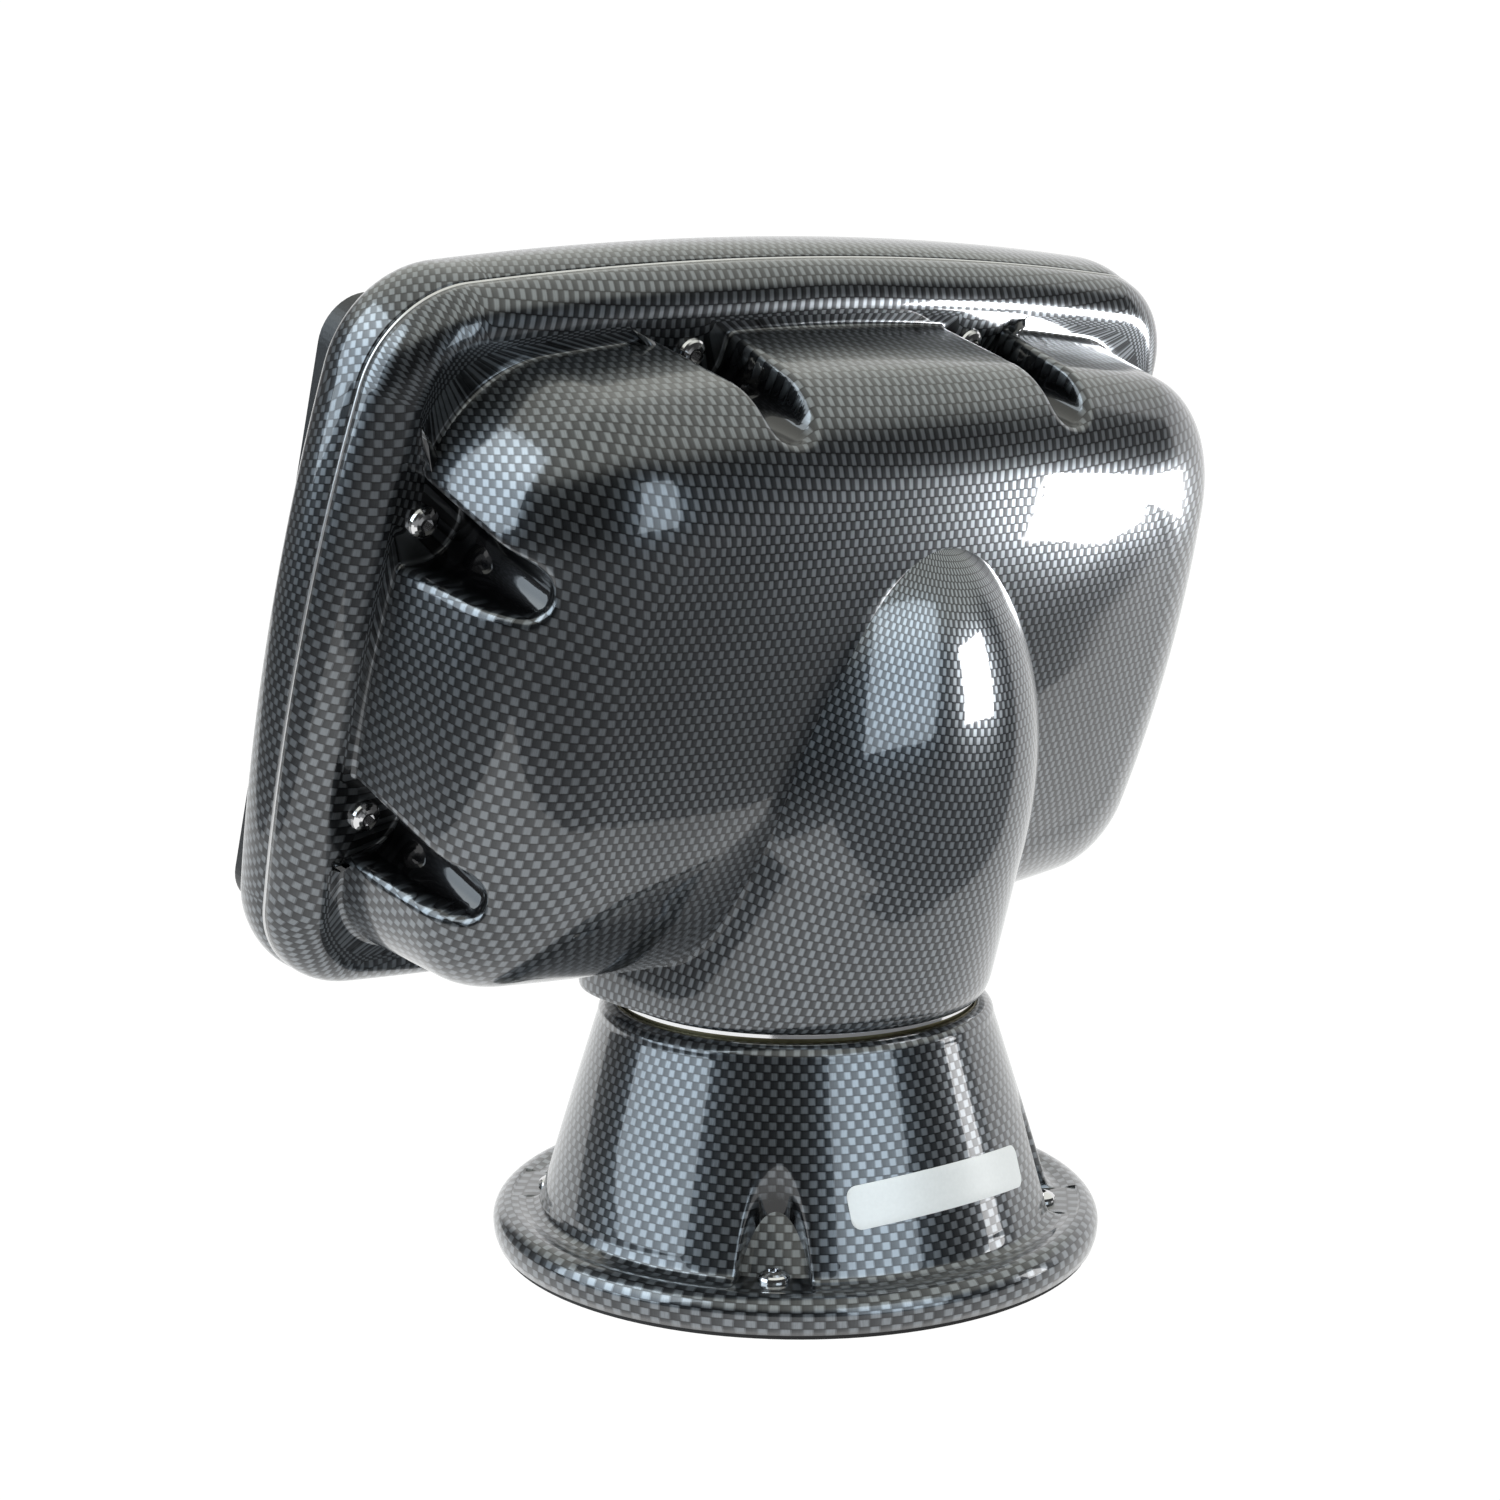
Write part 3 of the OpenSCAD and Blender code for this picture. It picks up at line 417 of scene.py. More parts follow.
mouth = np.array([(mouth_r + 0.4 * mm, lip_top), (mouth_r, lip_top - 0.4 * mm),
                  (mouth_r, lip_top - 6 * mm), (mouth_r - base_wall, lip_top - 6 * mm)])
inside = np.array([(cone_top_r - lip_r - base_wall, cone_top - 3 * mm),
                   (cone_low_r - base_wall, foot_floor - base_wall),
                   (foot_r - foot_round, foot_floor - base_wall),
                   (foot_r - foot_round, foot_low)])
outside = np.vstack([[(foot_r - 1 * mm, foot_low), (foot_r - 0.2 * mm, foot_low + 2.5 * mm)],
                     foot_roll, foot_valley, cone_line, lip])
profile = np.vstack([outside, mouth, inside])

# Columns stand close together at the recesses' edges and wider between them.
quarter = np.radians(np.concatenate([
    np.linspace(0, 4, 8, endpoint=False), np.linspace(4, 10.5, 26, endpoint=False),
    np.linspace(10.5, 79.5, 50, endpoint=False), np.linspace(79.5, 86, 26, endpoint=False),
    np.linspace(86, 90, 8, endpoint=False)]))
angle = np.concatenate([quarter + q * math.pi / 2 for q in range(4)])
from_recess = np.concatenate([np.minimum(quarter, math.pi / 2 - quarter)] * 4)
radius = np.repeat(profile[:, :1], len(angle), 1)
height = np.repeat(profile[:, 1:], len(angle), 1)


def recess_gap(r, h):
    """How far a place is outside a recess: its distance from the upright axis, less the recess's
    radius, which narrows with height."""
    aside = np.hypot(r * np.cos(from_recess) - recess_ring, r * np.sin(from_recess))
    outward = r * np.cos(from_recess) > recess_ring
    aside = np.where(outward, np.abs(r * np.sin(from_recess)), aside)
    narrow = np.clip((h - foot_floor) / recess_tall, 0, 1.2)
    return aside - (recess_r + (recess_top_r - recess_r) * narrow)


valley_rows = 18
valley_from = len(foot_roll) + 2
carved = slice(valley_from + valley_rows, len(outside) - len(lip))
wall_r = radius[carved].copy()
wall_h = height[carved].copy()
radius[carved] = halve(
    lambda r: smooth_max(r - wall_r, -recess_gap(r, wall_h), recess_soft),
    wall_r - 22 * mm, wall_r + 1 * mm)
# The foot of the wall moves in with the recess: the valley's rows share out the way to it.
foot_rows = slice(valley_from, valley_from + valley_rows)
push = radius[carved][0] - wall_r[0]
share = np.linspace(0, 1, valley_rows)[:, None] ** 2
radius[foot_rows] = radius[foot_rows] + push * share
height[foot_rows] = np.where(
    push < -0.4 * mm, np.minimum(height[foot_rows], foot_floor + 0.3 * mm), height[foot_rows])

places = np.stack([radius * np.cos(angle + base_turn), radius * np.sin(angle + base_turn), height], -1)
turn = -np.concatenate([angle, [2 * math.pi]]) / (2 * math.pi) * base_cells
run = np.concatenate([[0], np.cumsum(np.hypot(*np.diff(profile, axis=0).T))]) / cell_tall
film = np.stack(np.broadcast_arrays(turn[None, :], run[:, None]), -1)
full_dark_depth = 5 * mm                             # how deep a place sinks before the print is darkened fully to its seam colour
# The recesses' walls and floors are darkened towards the seam colour by how deep they sink.
sunk_dark = np.zeros(radius.shape)
sunk_dark[carved] = np.clip((wall_r - radius[carved]) / full_dark_depth, 0, 1)
sunk_dark[foot_rows] = np.clip(-push / full_dark_depth, 0, 1) * share
base = skin_piece("base_shell", places, film, weave, ring=True, sunk_dark=sunk_dark)
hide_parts("base_housing")
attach(base, "base")
base_lit.objects.link(base)

# ---- name plate ----
# A thin silver-grey foil with round corners, stuck round the back of the cone. It is left bare.
# Below are the image points: where edges and small things show in the photograph's frame.
image_points = {
    "left_edge": (235, None), "right_edge": (1207, None), "top_edge": (None, 238), "low_edge": (None, 1340),
    "head_screw_top_left": (694, 353), "head_screw_top_right": (976, 337),
    "head_screw_side_high": (428, 523), "head_screw_side_low": (364, 821),
    "base_screw_middle": (769, 1266), "base_screw_left": (543, 1180), "base_screw_right": (1041, 1190),
    "plate": (934, 1187),
}


def placed(label, carrier):
    """Where the ray through an image point meets the carrier as it stands finished; where the ray
    misses, the carrier's nearest place to it."""
    bpy.context.view_layer.update()
    graph = bpy.context.evaluated_depsgraph_get()
    solid = carrier.evaluated_get(graph).to_mesh()
    tree = BVHTree.FromPolygons([v.co for v in solid.vertices], [p.vertices for p in solid.polygons])
    px, py = image_points[label]
    L = max(W, H)
    ray = Vector((px - W / 2 + cam_data.shift_x * L, H / 2 - py + cam_data.shift_y * L,
                  -L * cam_data.lens / cam_data.sensor_width))
    ray = (camera.matrix_world.to_3x3() @ ray).normalized()
    start = camera.matrix_world.translation
    met = tree.ray_cast(start, ray)[0]
    return met or tree.find_nearest(start + ray * start.length)[0]


plate_long = 69.0 * mm
plate_tall = 12.9 * mm
plate_corner = 3.2 * mm
plate_thick = 0.25 * mm
plate_glue = 0.02 * mm
plate_past = math.radians(5.0)               # its far end turns out of sight, so its own middle
plate_drop = 0.8 * mm                        # stands further round and lower than what shows
plate_at = placed("plate", base)
cone_lean = math.atan2(cone_low_r - cone_top_r, cone_top - cone_low)
cone_tip = cone_low + cone_low_r / math.tan(cone_lean)
plate_turn = math.atan2(plate_at.y, plate_at.x) + plate_past
plate_far = (cone_tip - plate_at.z + plate_drop) / math.cos(cone_lean)
# Columns run along the plate and shorten at its ends by the corners' round; rows cross it.
plate_end = plate_long / 2 - plate_corner
end_turn = np.radians(np.linspace(0, 90, 9))
run = np.concatenate([-np.cos(end_turn) * plate_corner - plate_end,
                      np.linspace(-1, 1, 60)[1:-1] * plate_end,
                      np.sin(end_turn) * plate_corner + plate_end])
over = np.maximum(np.abs(run) - plate_end, 0)
half = plate_tall / 2 - plate_corner + np.sqrt(
    np.maximum(plate_corner ** 2 - over ** 2, (0.15 * mm) ** 2))
section = np.array([(-1, 0.0), (-1, 0.9), (-0.985, 1.0), (-0.6, 1.0), (0, 1.0), (0.6, 1.0),
                    (0.985, 1.0), (1, 0.9), (1, 0.0), (0, 0.0)])
up = section[:, :1] * half[None, :]
# Flat, the plate lies a way below the cone's tip; rolled up, ways from the tip keep their length.
from_tip = np.hypot(run[None, :], plate_far - up)
turned = plate_turn + np.arctan2(run[None, :], plate_far - up) / math.sin(cone_lean)
proud = section[:, 1:] * plate_thick + plate_glue
out = from_tip * math.sin(cone_lean) + proud * math.cos(cone_lean)
tall = cone_tip - from_tip * math.cos(cone_lean) + proud * math.sin(cone_lean)
plate_places = np.stack([out * np.cos(turned), out * np.sin(turned), tall], -1)
foil = bpy.data.materials.new("plate_foil")
foil.use_nodes = True
add, value, join = node_maker(foil)
shade = foil.node_tree.nodes["Principled BSDF"]
place = add("ShaderNodeTexCoord")
grain = noise(add, join, place.outputs["Object"], scale=900)
join(mix(add, join, grain, (0.80, 0.81, 0.80), (0.90, 0.91, 0.90)), shade.inputs["Base Color"])
join(value("MULTIPLY_ADD", grain, 0.12, 0.34), shade.inputs["Roughness"])
shade.inputs["Metallic"].default_value = 0.15
plate = skin_piece("name_plate", plate_places.swapaxes(0, 1),
                   np.zeros((len(run), len(section) + 1, 2)), foil, first_cap=True, last_cap=True)
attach(plate, "base")
base_lit.objects.link(plate)

# ---- rear shell ----
# One moulding: a round rim, a flat screw flange and a deep tub with a round shoulder, in the same
# printed and clear-coated finish. Eight screw channels are sunk in the tub's sides.
head_lean = math.radians(20.2)
head_fwd = 26.9 * mm
head_z = 195 * mm
head_a = 161.8 * mm
head_b = 116 * mm
head_r = 32.5 * mm
side_crown = 4.3 * mm
top_crown = 6.7 * mm
rim_r = 12 * mm
flange_in = 16.4 * mm
tub_depth = 85.6 * mm
back_crown = 8.5 * mm
back_slope = 0.056
shoulder_t = 32.4 * mm
shoulder_in = 39 * mm
side_draft = 3.2 * mm
bottom_draft = 15.6 * mm
tub_top_r = 38.5 * mm
tub_low_r = 26 * mm
corner_tighter = 0.28                        # how much of an inset the corners' radius loses
tub_edge = tub_depth - back_crown
shoulder_start = tub_edge - shoulder_t
back_mid = bottom_draft / 2
screw_in = 23.4 * mm
channel_r = 12.3 * mm
channel_end_r = 7.5 * mm
channel_end = 66 * mm
channel_shift = 2 * mm
channel_draft = 0.05
channel_soft = 3 * mm
shell_wall = 3 * mm
flange_fillet = 1.4 * mm


def head_outline(part, along, a, t, b, rt, rb, cx, cz):
    """Places on an outline of four crowned sides and four round corners, as across and up. part
    numbers the stretches from the bottom side round by +X, and along runs -1 to 1 on a side and
    0 to 1 on a corner. The corner arcs take up where the crowned sides' arcs end."""
    d = 2 * np.arctan(cx / ((t + b - rt - rb) / 2 - cz))
    et = 2 * np.arctan(cz / (a - cx - rt))
    eb = 2 * np.arctan(cz / (a - cx - rb))
    xt, zt = a - cx - rt * np.cos(d), t - cz - rt * np.cos(et)
    xb, zb = a - cx - rb * np.cos(d), cz + rb * np.cos(eb) - b
    hi, lo = zt + rt * np.sin(d), zb - rb * np.sin(d)
    ds = 2 * np.arctan(cx / ((hi - lo) / 2))
    side_r = (hi - lo) / 2 / np.sin(ds)
    top_x, low_x = xt + rt * np.sin(et), xb + rb * np.sin(eb)
    dt, db = 2 * np.arctan(cz / top_x), 2 * np.arctan(cz / low_x)
    mirror = np.where(part > 4, -1.0, 1.0)
    part = np.where(part > 4, 8 - part, part)
    low_turn = -math.pi / 2 + eb + (math.pi / 2 - eb - d) * along
    top_turn = d + (math.pi / 2 - et - d) * along
    kinds = [part == 0, part == 1, part == 2, part == 3, part == 4]
    across = np.select(kinds, [
        low_x / np.sin(db) * np.sin(db * along), xb + rb * np.cos(low_turn),
        a - side_r * (1 - np.cos(ds * along)), xt + rt * np.cos(top_turn),
        -top_x / np.sin(dt) * np.sin(dt * along)])
    up = np.select(kinds, [
        low_x / np.sin(db) * (1 - np.cos(db * along)) - b, zb + rb * np.sin(low_turn),
        (hi + lo) / 2 + side_r * np.sin(ds * along), zt + rt * np.sin(top_turn),
        t - top_x / np.sin(dt) * (1 - np.cos(dt * along))])
    return np.stack([across * mirror, up], -1)


def rim_outline(part, along, inset):
    """The head's outline at the trim line, drawn in by an inset."""
    return head_outline(part, along, head_a - inset, head_b - inset, head_b - inset,
                        head_r - inset, head_r - inset, side_crown, top_crown)


def tub_outline(part, along, depth, inset):
    """The tub's outline at a depth: draft grows with depth, inset is the round shoulder's."""
    grow = np.maximum(depth - rim_r, 0) / (tub_edge - rim_r)
    t = head_b - flange_in - inset
    return head_outline(part, along, head_a - flange_in - side_draft * grow - inset, t,
                        t - bottom_draft * grow, tub_top_r - corner_tighter * inset,
                        tub_low_r - corner_tighter * inset, side_crown, top_crown)


def columns_of(spacing, outline, fine=4000):
    """Parts and places along them at which columns stand: the fine outline's length is measured,
    weighed by the spacing wanted at each place, and shared out evenly."""
    part = np.repeat(np.arange(8), fine)
    step = (np.tile(np.arange(fine), 8) + 0.5) / fine
    along = np.where(part % 2 == 0, 2 * step - 1, step)
    along = np.where(part > 4, np.where(part % 2 == 0, -along, 1 - along), along)
    p = outline(part, along)
    length = np.hypot(*(np.roll(p, -1, 0) - p).T)
    weight = np.cumsum(length / spacing(p))
    count = int(weight[-1])
    pick = np.searchsorted(weight, (np.arange(count) + 0.5) / count * weight[-1])
    return part[pick], along[pick]


screw_top_z = head_b - screw_in
screw_side_x = head_a - screw_in
channels = [(x, z, dx, dz) for x, z, dx, dz in (
    (56.5 * mm, screw_top_z, 0, 1), (-56.5 * mm, screw_top_z, 0, 1),
    (screw_side_x, 46 * mm, 1, 0), (-screw_side_x, 46 * mm, -1, 0),
    (screw_side_x, -46 * mm, 1, 0), (-screw_side_x, -46 * mm, -1, 0),
    (82 * mm, -screw_top_z, 0, -1), (-82 * mm, -screw_top_z, 0, -1))]


def tub_spacing(p):
    """Columns 2.6 mm apart on the sides, 1.5 at the corners, 0.45 over the channels' edges and 1.1
    along the channels' middles."""
    apart = np.full(len(p), 2.6 * mm)
    corner = (np.abs(p[:, 0]) > 100 * mm) & (np.abs(p[:, 1]) > 52 * mm)
    apart[corner] = 1.5 * mm
    for x, z, dx, dz in channels:
        aside = np.abs((p[:, 0] - x) * dz - (p[:, 1] - z) * dx)
        here = ((p[:, 0] - x) * dx + (p[:, 1] - z) * dz > -20 * mm) & (aside < 15 * mm)
        apart[here & (aside >= 5.5 * mm)] = 0.45 * mm
        apart[here & (aside < 5.5 * mm)] = 1.1 * mm
    return apart


part, along = columns_of(tub_spacing, lambda p, s: tub_outline(p, s, rim_r, 0 * mm))


def carve(places):
    """Sinks the screw channels into rows of the tub. Each place moves along its own side's
    direction until the smooth maximum of wall and channel is zero there."""
    places = places.copy()
    for x, z, dx, dz in channels:
        out = (places[..., 0] - x) * dx + (places[..., 2] - z) * dz
        deep = places[..., 1]
        run_out = np.clip((deep - rim_r) / (channel_end - channel_end_r - rim_r), 0, 1)
        aside = (places[..., 0] - x) * dz - (places[..., 2] - z) * dx
        bore = channel_r + (channel_end_r - channel_r) * run_out
        past = np.maximum(deep - (channel_end - channel_end_r), 0)
        sunk = out + channel_shift * abs(dx) * run_out

        def channel_gap(h):
            across = np.hypot(np.hypot(aside, np.minimum(h, 0)), past)
            return across - bore - channel_draft * np.maximum(h, 0)

        near = (np.abs(aside) < bore + 6 * mm) & (out > -35 * mm) & (deep < channel_end + 12 * mm)
        new = halve(lambda h: smooth_max(h - sunk, -channel_gap(h), channel_soft),
                    sunk - 26 * mm, sunk + 2 * mm)
        move = np.where(near, np.minimum(new - sunk, 0), 0)
        places[..., 0] += move * dx
        places[..., 2] += move * dz
    return places


def rim_rows(insets, depths):
    """Rows on the rim's own outlines."""
    flat = rim_outline(part[None, :], along[None, :], insets[:, None])
    deep = np.broadcast_to(depths[:, None], flat.shape[:2])
    return np.stack([flat[..., 0], deep, flat[..., 1]], -1)


def tub_rows(depths, insets):
    """Rows on the tub's wall and shoulder: each row's own outline, leaned back as depth grows."""
    flat = tub_outline(part[None, :], along[None, :], depths, insets)
    lean = back_slope * np.clip((depths - rim_r) / (tub_edge - rim_r), 0, 1)
    return np.stack([flat[..., 0], depths - lean * flat[..., 1], flat[..., 1]], -1)


round_rim = np.radians(np.linspace(0, 90, 15))
rim = rim_rows(rim_r * (1 - np.cos(round_rim)), rim_r * np.sin(round_rim))
wall_deep = np.linspace(rim_r + flange_fillet, shoulder_start, 26)
# The shoulder's arc stops where its slope is that of the back's crown, so light runs on over the
# join: the place is between bends of 0.7 and 1.57 radians.
full = tub_outline(part, along, np.array(tub_edge), np.array(shoulder_in))
full_reach = np.hypot(full[:, 0], full[:, 1] - back_mid)
bend_end = halve(
    lambda b: 2 * (tub_depth - shoulder_start - shoulder_t * np.sin(b))
    / (full_reach + shoulder_in * np.cos(b)) - shoulder_t / shoulder_in / np.tan(b),
    0.7 + 0 * full_reach, 1.57 + 0 * full_reach)
bend = np.linspace(0, 1, 40)[1:, None] * bend_end
shoulder_deep = shoulder_start + shoulder_t * np.sin(bend)
shoulder_inset = shoulder_in * (1 - np.cos(bend))
every = np.ones((1, len(part)))
skin_deep = np.concatenate([rim_r * every, wall_deep[:, None] * every, shoulder_deep])
skin_inset = np.concatenate([np.zeros((1 + len(wall_deep), len(part))), shoulder_inset])
uncarved = tub_rows(skin_deep, skin_inset)
wall = carve(uncarved)
# The channels are darkened towards the seam colour by how deep they sink.
depth_darkening = np.clip(np.linalg.norm(wall - uncarved, axis=-1) / full_dark_depth, 0, 1)
foot_line, wall = wall[0], wall[1:]
outward = rim[-1] - foot_line
outward = outward / np.linalg.norm(outward, axis=-1, keepdims=True)
bow = np.radians(np.linspace(0, 75, 4))[:, None, None]
flange = rim[-1] + (foot_line + outward * flange_fillet - rim[-1]) * np.array([0.4, 0.8])[:, None, None]
fillet = foot_line + outward * flange_fillet * (1 - np.sin(bow))
fillet = fillet + np.array([0, 1, 0]) * flange_fillet * (1 - np.cos(bow))
edge = wall[-1]
edge_deep = shoulder_deep[-1]
edge_lean = np.clip((edge_deep - rim_r) / (tub_edge - rim_r), 0, 1)
shrink = np.array([0.95, 0.88, 0.8, 0.7, 0.6, 0.5, 0.4, 0.3, 0.2, 0.1, 0.02])[:, None]
back_up = back_mid + (edge[:, 2] - back_mid) * shrink
back = np.stack([
    edge[:, 0] * shrink,
    tub_depth - (tub_depth - edge_deep) * shrink ** 2
    - back_slope * (1 - (1 - edge_lean) * shrink ** 2) * back_up, back_up], -1)
shell = np.concatenate([rim, flange, fillet, wall, back])

# The print lies flat on the back and folds down the sides: its coordinates go on outwards from the
# back's edge by the way run down the uncarved wall, where the film was stretched as it was laid.
film_stretch = 0.68
foot_count = len(flange) + len(fillet)
plain = np.concatenate([rim, np.repeat(uncarved[:1], foot_count, 0), uncarved[1:], back])
way = np.linalg.norm(np.diff(plain, axis=0), axis=-1)
way = np.concatenate([np.cumsum(way[::-1], 0)[::-1], np.zeros((1, len(part)))])
at_edge = len(shell) - len(back) - 1
way = way - way[at_edge]
further_in = shoulder_in + 9 * mm
normal = edge[:, [0, 2]] - tub_outline(part, along, np.array(tub_edge), np.array(further_in))
normal = normal / np.linalg.norm(normal, axis=-1, keepdims=True)
film = np.where(np.arange(len(shell))[:, None, None] <= at_edge,
                edge[:, [0, 2]] + normal * way[..., None] * film_stretch, shell[..., [0, 2]])
film = film / np.array([cell_wide, cell_tall])
film = np.concatenate([film, film[:, :1]], 1)
sunk_dark = np.concatenate([np.zeros((len(rim) + foot_count, len(part))), depth_darkening[1:],
                       np.zeros((len(back), len(part)))])


def in_head(places):
    """Leans places from the head's own frame back into the part's."""
    c, s = math.cos(head_lean), math.sin(head_lean)
    x, y, z = places[..., 0], places[..., 1], places[..., 2]
    return np.stack([x, y * c + z * s - head_fwd, z * c - y * s + head_z], -1)


tub = skin_piece("rear_shell_tub", in_head(shell), film, weave, last_cap=True, sunk_dark=sunk_dark)
thick = tub.modifiers.new("wall", "SOLIDIFY")
thick.thickness = shell_wall
thick.offset = -1
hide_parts("rear_shell")
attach(tub, "head")
tub_lit.objects.link(tub)

# ---- neck ----
# The same moulding's leaning neck: a round column on a soft square foot that ends in a dome inside
# the tub's back, so that only its rear half stands out of it.
neck_base = 79.4 * mm
neck_r = 57.5 * mm
neck_straight = 66 * mm
neck_dome = 92 * mm
dome_squeeze = 0.89
foot_square = 4                              # the power of the foot's rounded square
foot_h = 13 * mm
ring_r = 56.6 * mm
neck_cells = 218                             # columns of the print round the neck
neck_columns = 220

foot_turn = np.radians(np.linspace(0, 90, 12))
foot_high = foot_h * (1 - np.cos(foot_turn))
foot_grow = np.sqrt(1 - (1 - foot_high / foot_h) ** 2)
straight = np.linspace(foot_h, neck_straight * math.cos(head_lean), 22)[1:] / math.cos(head_lean)
dome_turn = np.radians(np.concatenate([np.linspace(0, 80, 40)[1:], [84, 87, 89]]))
reach = np.concatenate([foot_high / math.cos(head_lean), straight,
                        neck_straight + neck_dome * np.sin(dome_turn)])
grow = np.concatenate([foot_grow, 0 * straight + 1, 0 * dome_turn + 1])
scale = np.concatenate([0 * foot_high + 1, 0 * straight + 1, np.cos(dome_turn)])
tilt = head_lean * np.clip(reach / neck_straight, 0, 1)
narrow = 1 - (1 - dome_squeeze) * np.clip(reach / neck_straight, 0, 1)
round_neck = np.linspace(0, 2 * math.pi, neck_columns, endpoint=False)[None, :]
c, d = np.cos(round_neck), np.sin(round_neck)
square = np.where(d < 0, (np.abs(c) ** foot_square + np.abs(d) ** foot_square) ** (-1 / foot_square), 1)
half_x = ring_r + (neck_r * narrow - ring_r) * grow
half_y = ring_r + (neck_r / np.cos(head_lean - tilt) - ring_r) * grow
x = c * square * half_x[:, None]
y = d * square * half_y[:, None] * scale[:, None]
neck_places = np.stack([
    x * scale[:, None],
    (reach * math.sin(head_lean))[:, None] + y * np.cos(tilt)[:, None],
    neck_base + (reach * math.cos(head_lean))[:, None] - y * np.sin(tilt)[:, None]], -1)
behind = neck_places[:, neck_columns // 4]
way = np.concatenate([[0], np.cumsum(np.linalg.norm(np.diff(behind, axis=0), axis=-1))])
turn = np.linspace(0, neck_cells, neck_columns + 1)
film = np.stack(np.broadcast_arrays(-turn[None, :], way[:, None] / cell_tall), -1)
neck = skin_piece("rear_shell_neck", neck_places[:, ::-1], film[:, ::-1], weave,
                  first_cap=True, last_cap=True)
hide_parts("rear_shell")
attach(neck, "head")
neck_lit.objects.link(neck)

# ---- trim line ----
# A thin bright bead squeezed between the two halves of the head, a little proud of both.
def metal_finish(name, colour, roughness, grain=0.0):
    """A bright metal with faint marks. Grain makes its roughness more uneven."""
    material = bpy.data.materials.new(name)
    material.use_nodes = True
    add, value, join = node_maker(material)
    shade = material.node_tree.nodes["Principled BSDF"]
    place = add("ShaderNodeTexCoord")
    scuff = noise(add, join, place.outputs["Object"], scale=350, detail=4)
    join(value("MULTIPLY_ADD", scuff, grain + 0.04, roughness), shade.inputs["Roughness"])
    dull = [c * 0.86 for c in colour]
    join(mix(add, join, scuff, dull, colour), shade.inputs["Base Color"])
    shade.inputs["Metallic"].default_value = 1.0
    return material


trim_t = 1.6 * mm
rim_part, rim_along = columns_of(
    lambda p: np.where((np.abs(p[:, 0]) > 120 * mm) & (np.abs(p[:, 1]) > 78 * mm), 1.5 * mm, 5 * mm),
    lambda p, s: rim_outline(p, s, 0 * mm))
bead = np.radians(np.linspace(0, 360, 16, endpoint=False))
bead_power = 0.7                             # less than 1 squares the bead's section
bead_c = np.sign(np.cos(bead)) * np.abs(np.cos(bead)) ** bead_power
bead_s = np.sign(np.sin(bead)) * np.abs(np.sin(bead)) ** bead_power
bead_in = 1.0 * mm - 1.25 * mm * bead_c
bead_y = -trim_t / 2 - (trim_t / 2 - 0.04 * mm) * bead_s
flat = rim_outline(rim_part[None, :], rim_along[None, :], bead_in[:, None])
bead_deep = np.broadcast_to(bead_y[:, None], flat.shape[:2])
bead_places = np.stack([flat[..., 0], bead_deep, flat[..., 1]], -1)
trim = skin_piece("trim_line", in_head(bead_places), np.zeros((len(bead), len(rim_part) + 1, 2)),
                  metal_finish("trim_silver", (0.80, 0.80, 0.80), 0.28), ring=True)
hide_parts("trim_gasket")
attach(trim, "head")

# ---- front bezel ----
# The head's other half, in the same finish: a slightly bulged band with a rounded front edge and a
# flat front that the display's frame covers.
bezel_t = 21 * mm
bezel_wall = 2.6 * mm
bezel_bulge = 1.2 * mm
bezel_round = 9 * mm
screen_tilt = math.radians(1.7)
band = smooth_path([
    (-trim_t, 0.1 * mm), (-4 * mm, -0.75 * mm), (-7.5 * mm, -bezel_bulge), (-11.5 * mm, -1.0 * mm),
    (5.2 * mm - bezel_t, 0), (2.6 * mm - bezel_t, 0.18 * bezel_round),
    (0.8 * mm - bezel_t, 0.45 * bezel_round), (0.1 * mm - bezel_t, 0.8 * bezel_round),
    (-bezel_t, bezel_round + 1.5 * mm),
    (-bezel_t, 20 * mm)], 4)
flat = rim_outline(rim_part[None, :], rim_along[None, :], band[:, 1:])
tilted = math.tan(screen_tilt) * np.clip(band[:, :1] / -bezel_t, 0, 1) ** 0.6
bezel_places = np.stack([flat[..., 0], band[:, :1] - tilted * flat[..., 1], flat[..., 1]], -1)
# The print folds down from the front as the tub's does: it goes on outwards by the way down the
# band, along a line from the middle that leans towards the nearer long side.
way = np.concatenate([[0], np.cumsum(np.hypot(*np.diff(band, axis=0).T))])[:, None]
edge_x = np.concatenate([flat[0, :, 0], flat[0, :1, 0]])
edge_z = np.concatenate([flat[0, :, 1], flat[0, :1, 1]])
long_side = 1.4
slant = np.hypot(edge_x, edge_z * long_side)
film = np.stack([(edge_x + edge_x / slant * way) / cell_wide,
                 (edge_z + edge_z * long_side / slant * way) / cell_tall], -1)
bezel = skin_piece("front_bezel_band", in_head(bezel_places)[:, ::-1], film[:, ::-1], weave)
thick = bezel.modifiers.new("wall", "SOLIDIFY")
thick.thickness = bezel_wall
thick.offset = -1
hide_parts("front_bezel")
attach(bezel, "head")
tub_lit.objects.link(bezel)

# ---- swivel joint ----
# A polished ring under the neck turns on a dull bronze bearing band that sits in the base's mouth.
def paint_node(node, material):
    """Gives a CAD node one material of this scene's."""
    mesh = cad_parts[node].data
    mesh.materials.clear()
    mesh.materials.append(material)


paint_node("swivel_ring", metal_finish("ring_chrome", (0.93, 0.93, 0.94), 0.05))
paint_node("bearing_ring", metal_finish("bearing_bronze", (0.30, 0.27, 0.16), 0.38, 0.1))
steel = metal_finish("polished_steel", (0.86, 0.86, 0.87), 0.06)
for node in ("head_screws", "base_screws", "collar_screws", "spindle_bolts", "stop_pin", "display_nuts",
             "display_studs"):
    paint_node(node, steel)
machined = metal_finish("machined_alloy", (0.74, 0.75, 0.77), 0.30, 0.15)
for node in ("deck_ring", "swivel_collar", "spindle", "spindle_nut"):
    paint_node(node, machined)
paint_node("screw_inserts", metal_finish("brass", (0.80, 0.62, 0.28), 0.25))


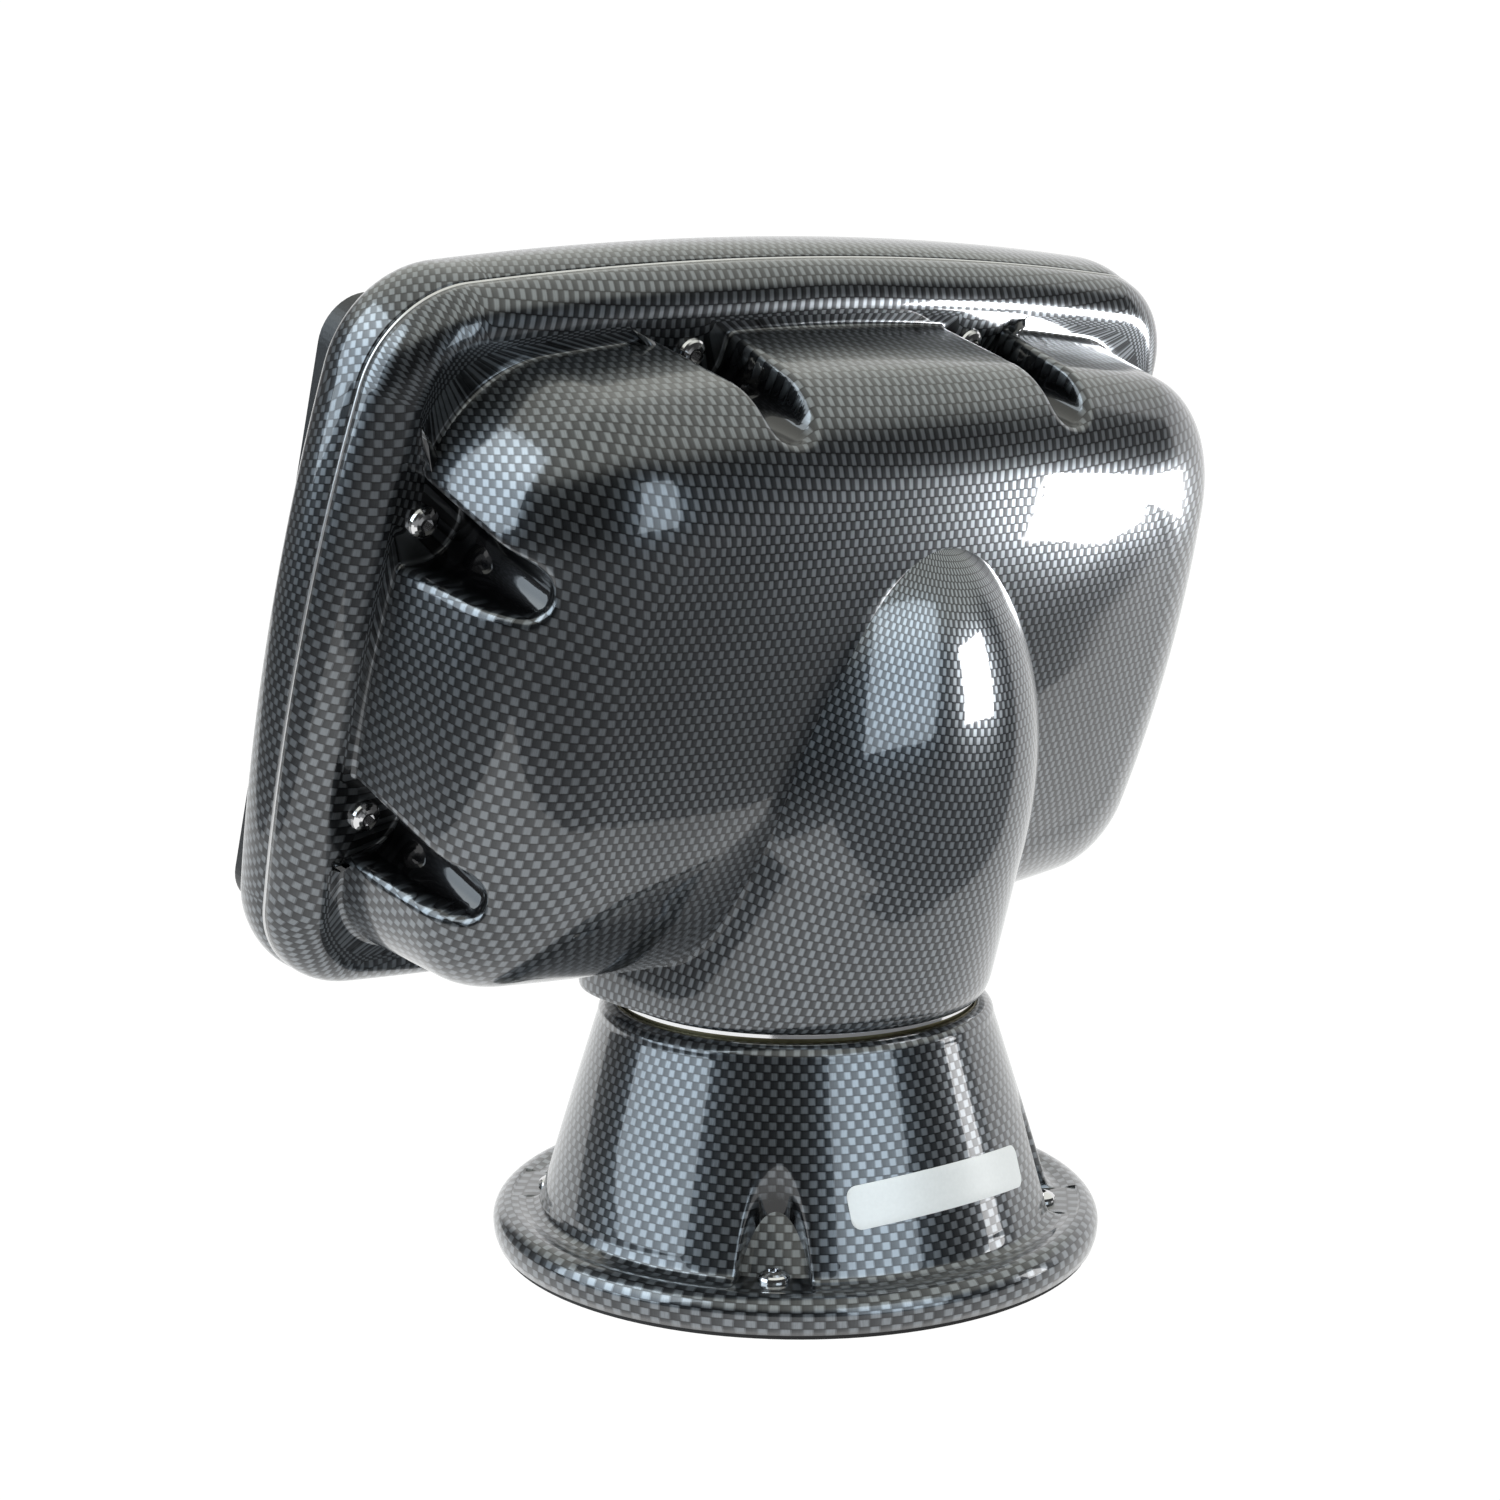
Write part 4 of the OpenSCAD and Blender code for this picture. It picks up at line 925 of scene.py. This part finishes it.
# ---- seals and display ----
# Rubber seals and nylon washers, and the display on the front: a black frame with one key round a
# dark glass, and the case, panel and board behind it.
def moulded_finish(name, colour, roughness, grain_size=900, grain=0.15):
    """A moulded plastic or rubber: a grain in the bump, and colour that drifts a little."""
    material = bpy.data.materials.new(name)
    material.use_nodes = True
    add, value, join = node_maker(material)
    shade = material.node_tree.nodes["Principled BSDF"]
    place = add("ShaderNodeTexCoord")
    grit = noise(add, join, place.outputs["Object"], scale=grain_size, detail=3)
    drift = noise(add, join, place.outputs["Object"], scale=14)
    dark, pale = [c * 0.75 for c in colour], [c * 1.2 for c in colour]
    join(mix(add, join, drift, dark, pale), shade.inputs["Base Color"])
    relief = add("ShaderNodeBump")
    relief.inputs["Strength"].default_value = grain
    relief.inputs["Distance"].default_value = 0.0003
    join(grit, relief.inputs["Height"])
    join(relief.outputs["Normal"], shade.inputs["Normal"])
    shade.inputs["Roughness"].default_value = roughness
    return material


rubber = moulded_finish("seal_rubber", (0.018, 0.018, 0.019), 0.7)
for node in ("base_gasket", "cable_grommet", "display_gasket", "key_dome"):
    paint_node(node, rubber)
washer_stuff = moulded_finish("washer_nylon", (0.55, 0.53, 0.47), 0.45)
for node in ("thrust_washer", "friction_washer"):
    paint_node(node, washer_stuff)
paint_node("display_frame", moulded_finish("frame_black", (0.02, 0.021, 0.023), 0.38, 1500, 0.25))
paint_node("display_case", moulded_finish("case_black", (0.03, 0.03, 0.032), 0.5, 1200, 0.3))
paint_node("lead_sockets", moulded_finish("socket_grey", (0.06, 0.06, 0.065), 0.45))
paint_node("power_key", moulded_finish("key_black", (0.035, 0.036, 0.04), 0.5, 1500, 0.2))
paint_node("main_board", moulded_finish("board_green", (0.02, 0.12, 0.05), 0.4, 300, 0.3))
paint_node("display_panel", moulded_finish("panel_dark", (0.012, 0.014, 0.018), 0.25))
paint_node("display_glass", moulded_finish("screen_glass", (0.004, 0.005, 0.007), 0.03, 40, 0.0))

# ---- checks against the photograph ----
# The file says how far the middle of what shows of each thing lies from its own image point.
bpy.context.view_layer.update()
final = bpy.context.evaluated_depsgraph_get()
view = np.array(camera.matrix_world.inverted())
focal = cam_data.lens / cam_data.sensor_width * max(W, H)


def seen(thing):
    """Where the corners of a thing's mesh show in the photograph's frame, and the corners."""
    mesh = thing.evaluated_get(final).to_mesh()
    co = np.empty(len(mesh.vertices) * 3)
    mesh.vertices.foreach_get("co", co)
    co = co.reshape(-1, 3)
    q = co @ view[:3, :3].T + view[:3, 3]
    return np.stack([W / 2 + focal * q[:, 0] / -q[:, 2], H / 2 - focal * q[:, 1] / -q[:, 2]], -1), co


def in_sight(co):
    """Whether nothing stands between the camera and a corner."""
    way = Vector(co) - camera.location
    met, at = bpy.context.scene.ray_cast(final, camera.location, way.normalized())[:2]
    return not met or (at - camera.location).length > way.length - 0.2 * mm


whole = np.vstack([seen(piece)[0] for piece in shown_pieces()])
low, high = whole.min(0), whole.max(0)
edges = {"left_edge": (low[0], None), "right_edge": (high[0], None),
         "top_edge": (None, low[1]), "low_edge": (None, high[1])}
# What carries each point, and how far from the point its corners are looked for.
carriers = {"head_screw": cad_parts["head_screws"], "base_screw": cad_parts["base_screws"],
            "plate": plate}
reach = {"head_screw": 30, "base_screw": 30, "plate": 400}
for label, point in image_points.items():
    got = edges.get(label)
    if got is None:
        kind = next(k for k in carriers if label.startswith(k))
        where, co = seen(carriers[kind])
        near = np.flatnonzero(np.hypot(*(where - point).T) < reach[kind])
        shows = where[[i for i in near if in_sight(co[i])]]
        got = (shows.min(0) + shows.max(0)) / 2 if len(shows) else (None, None)
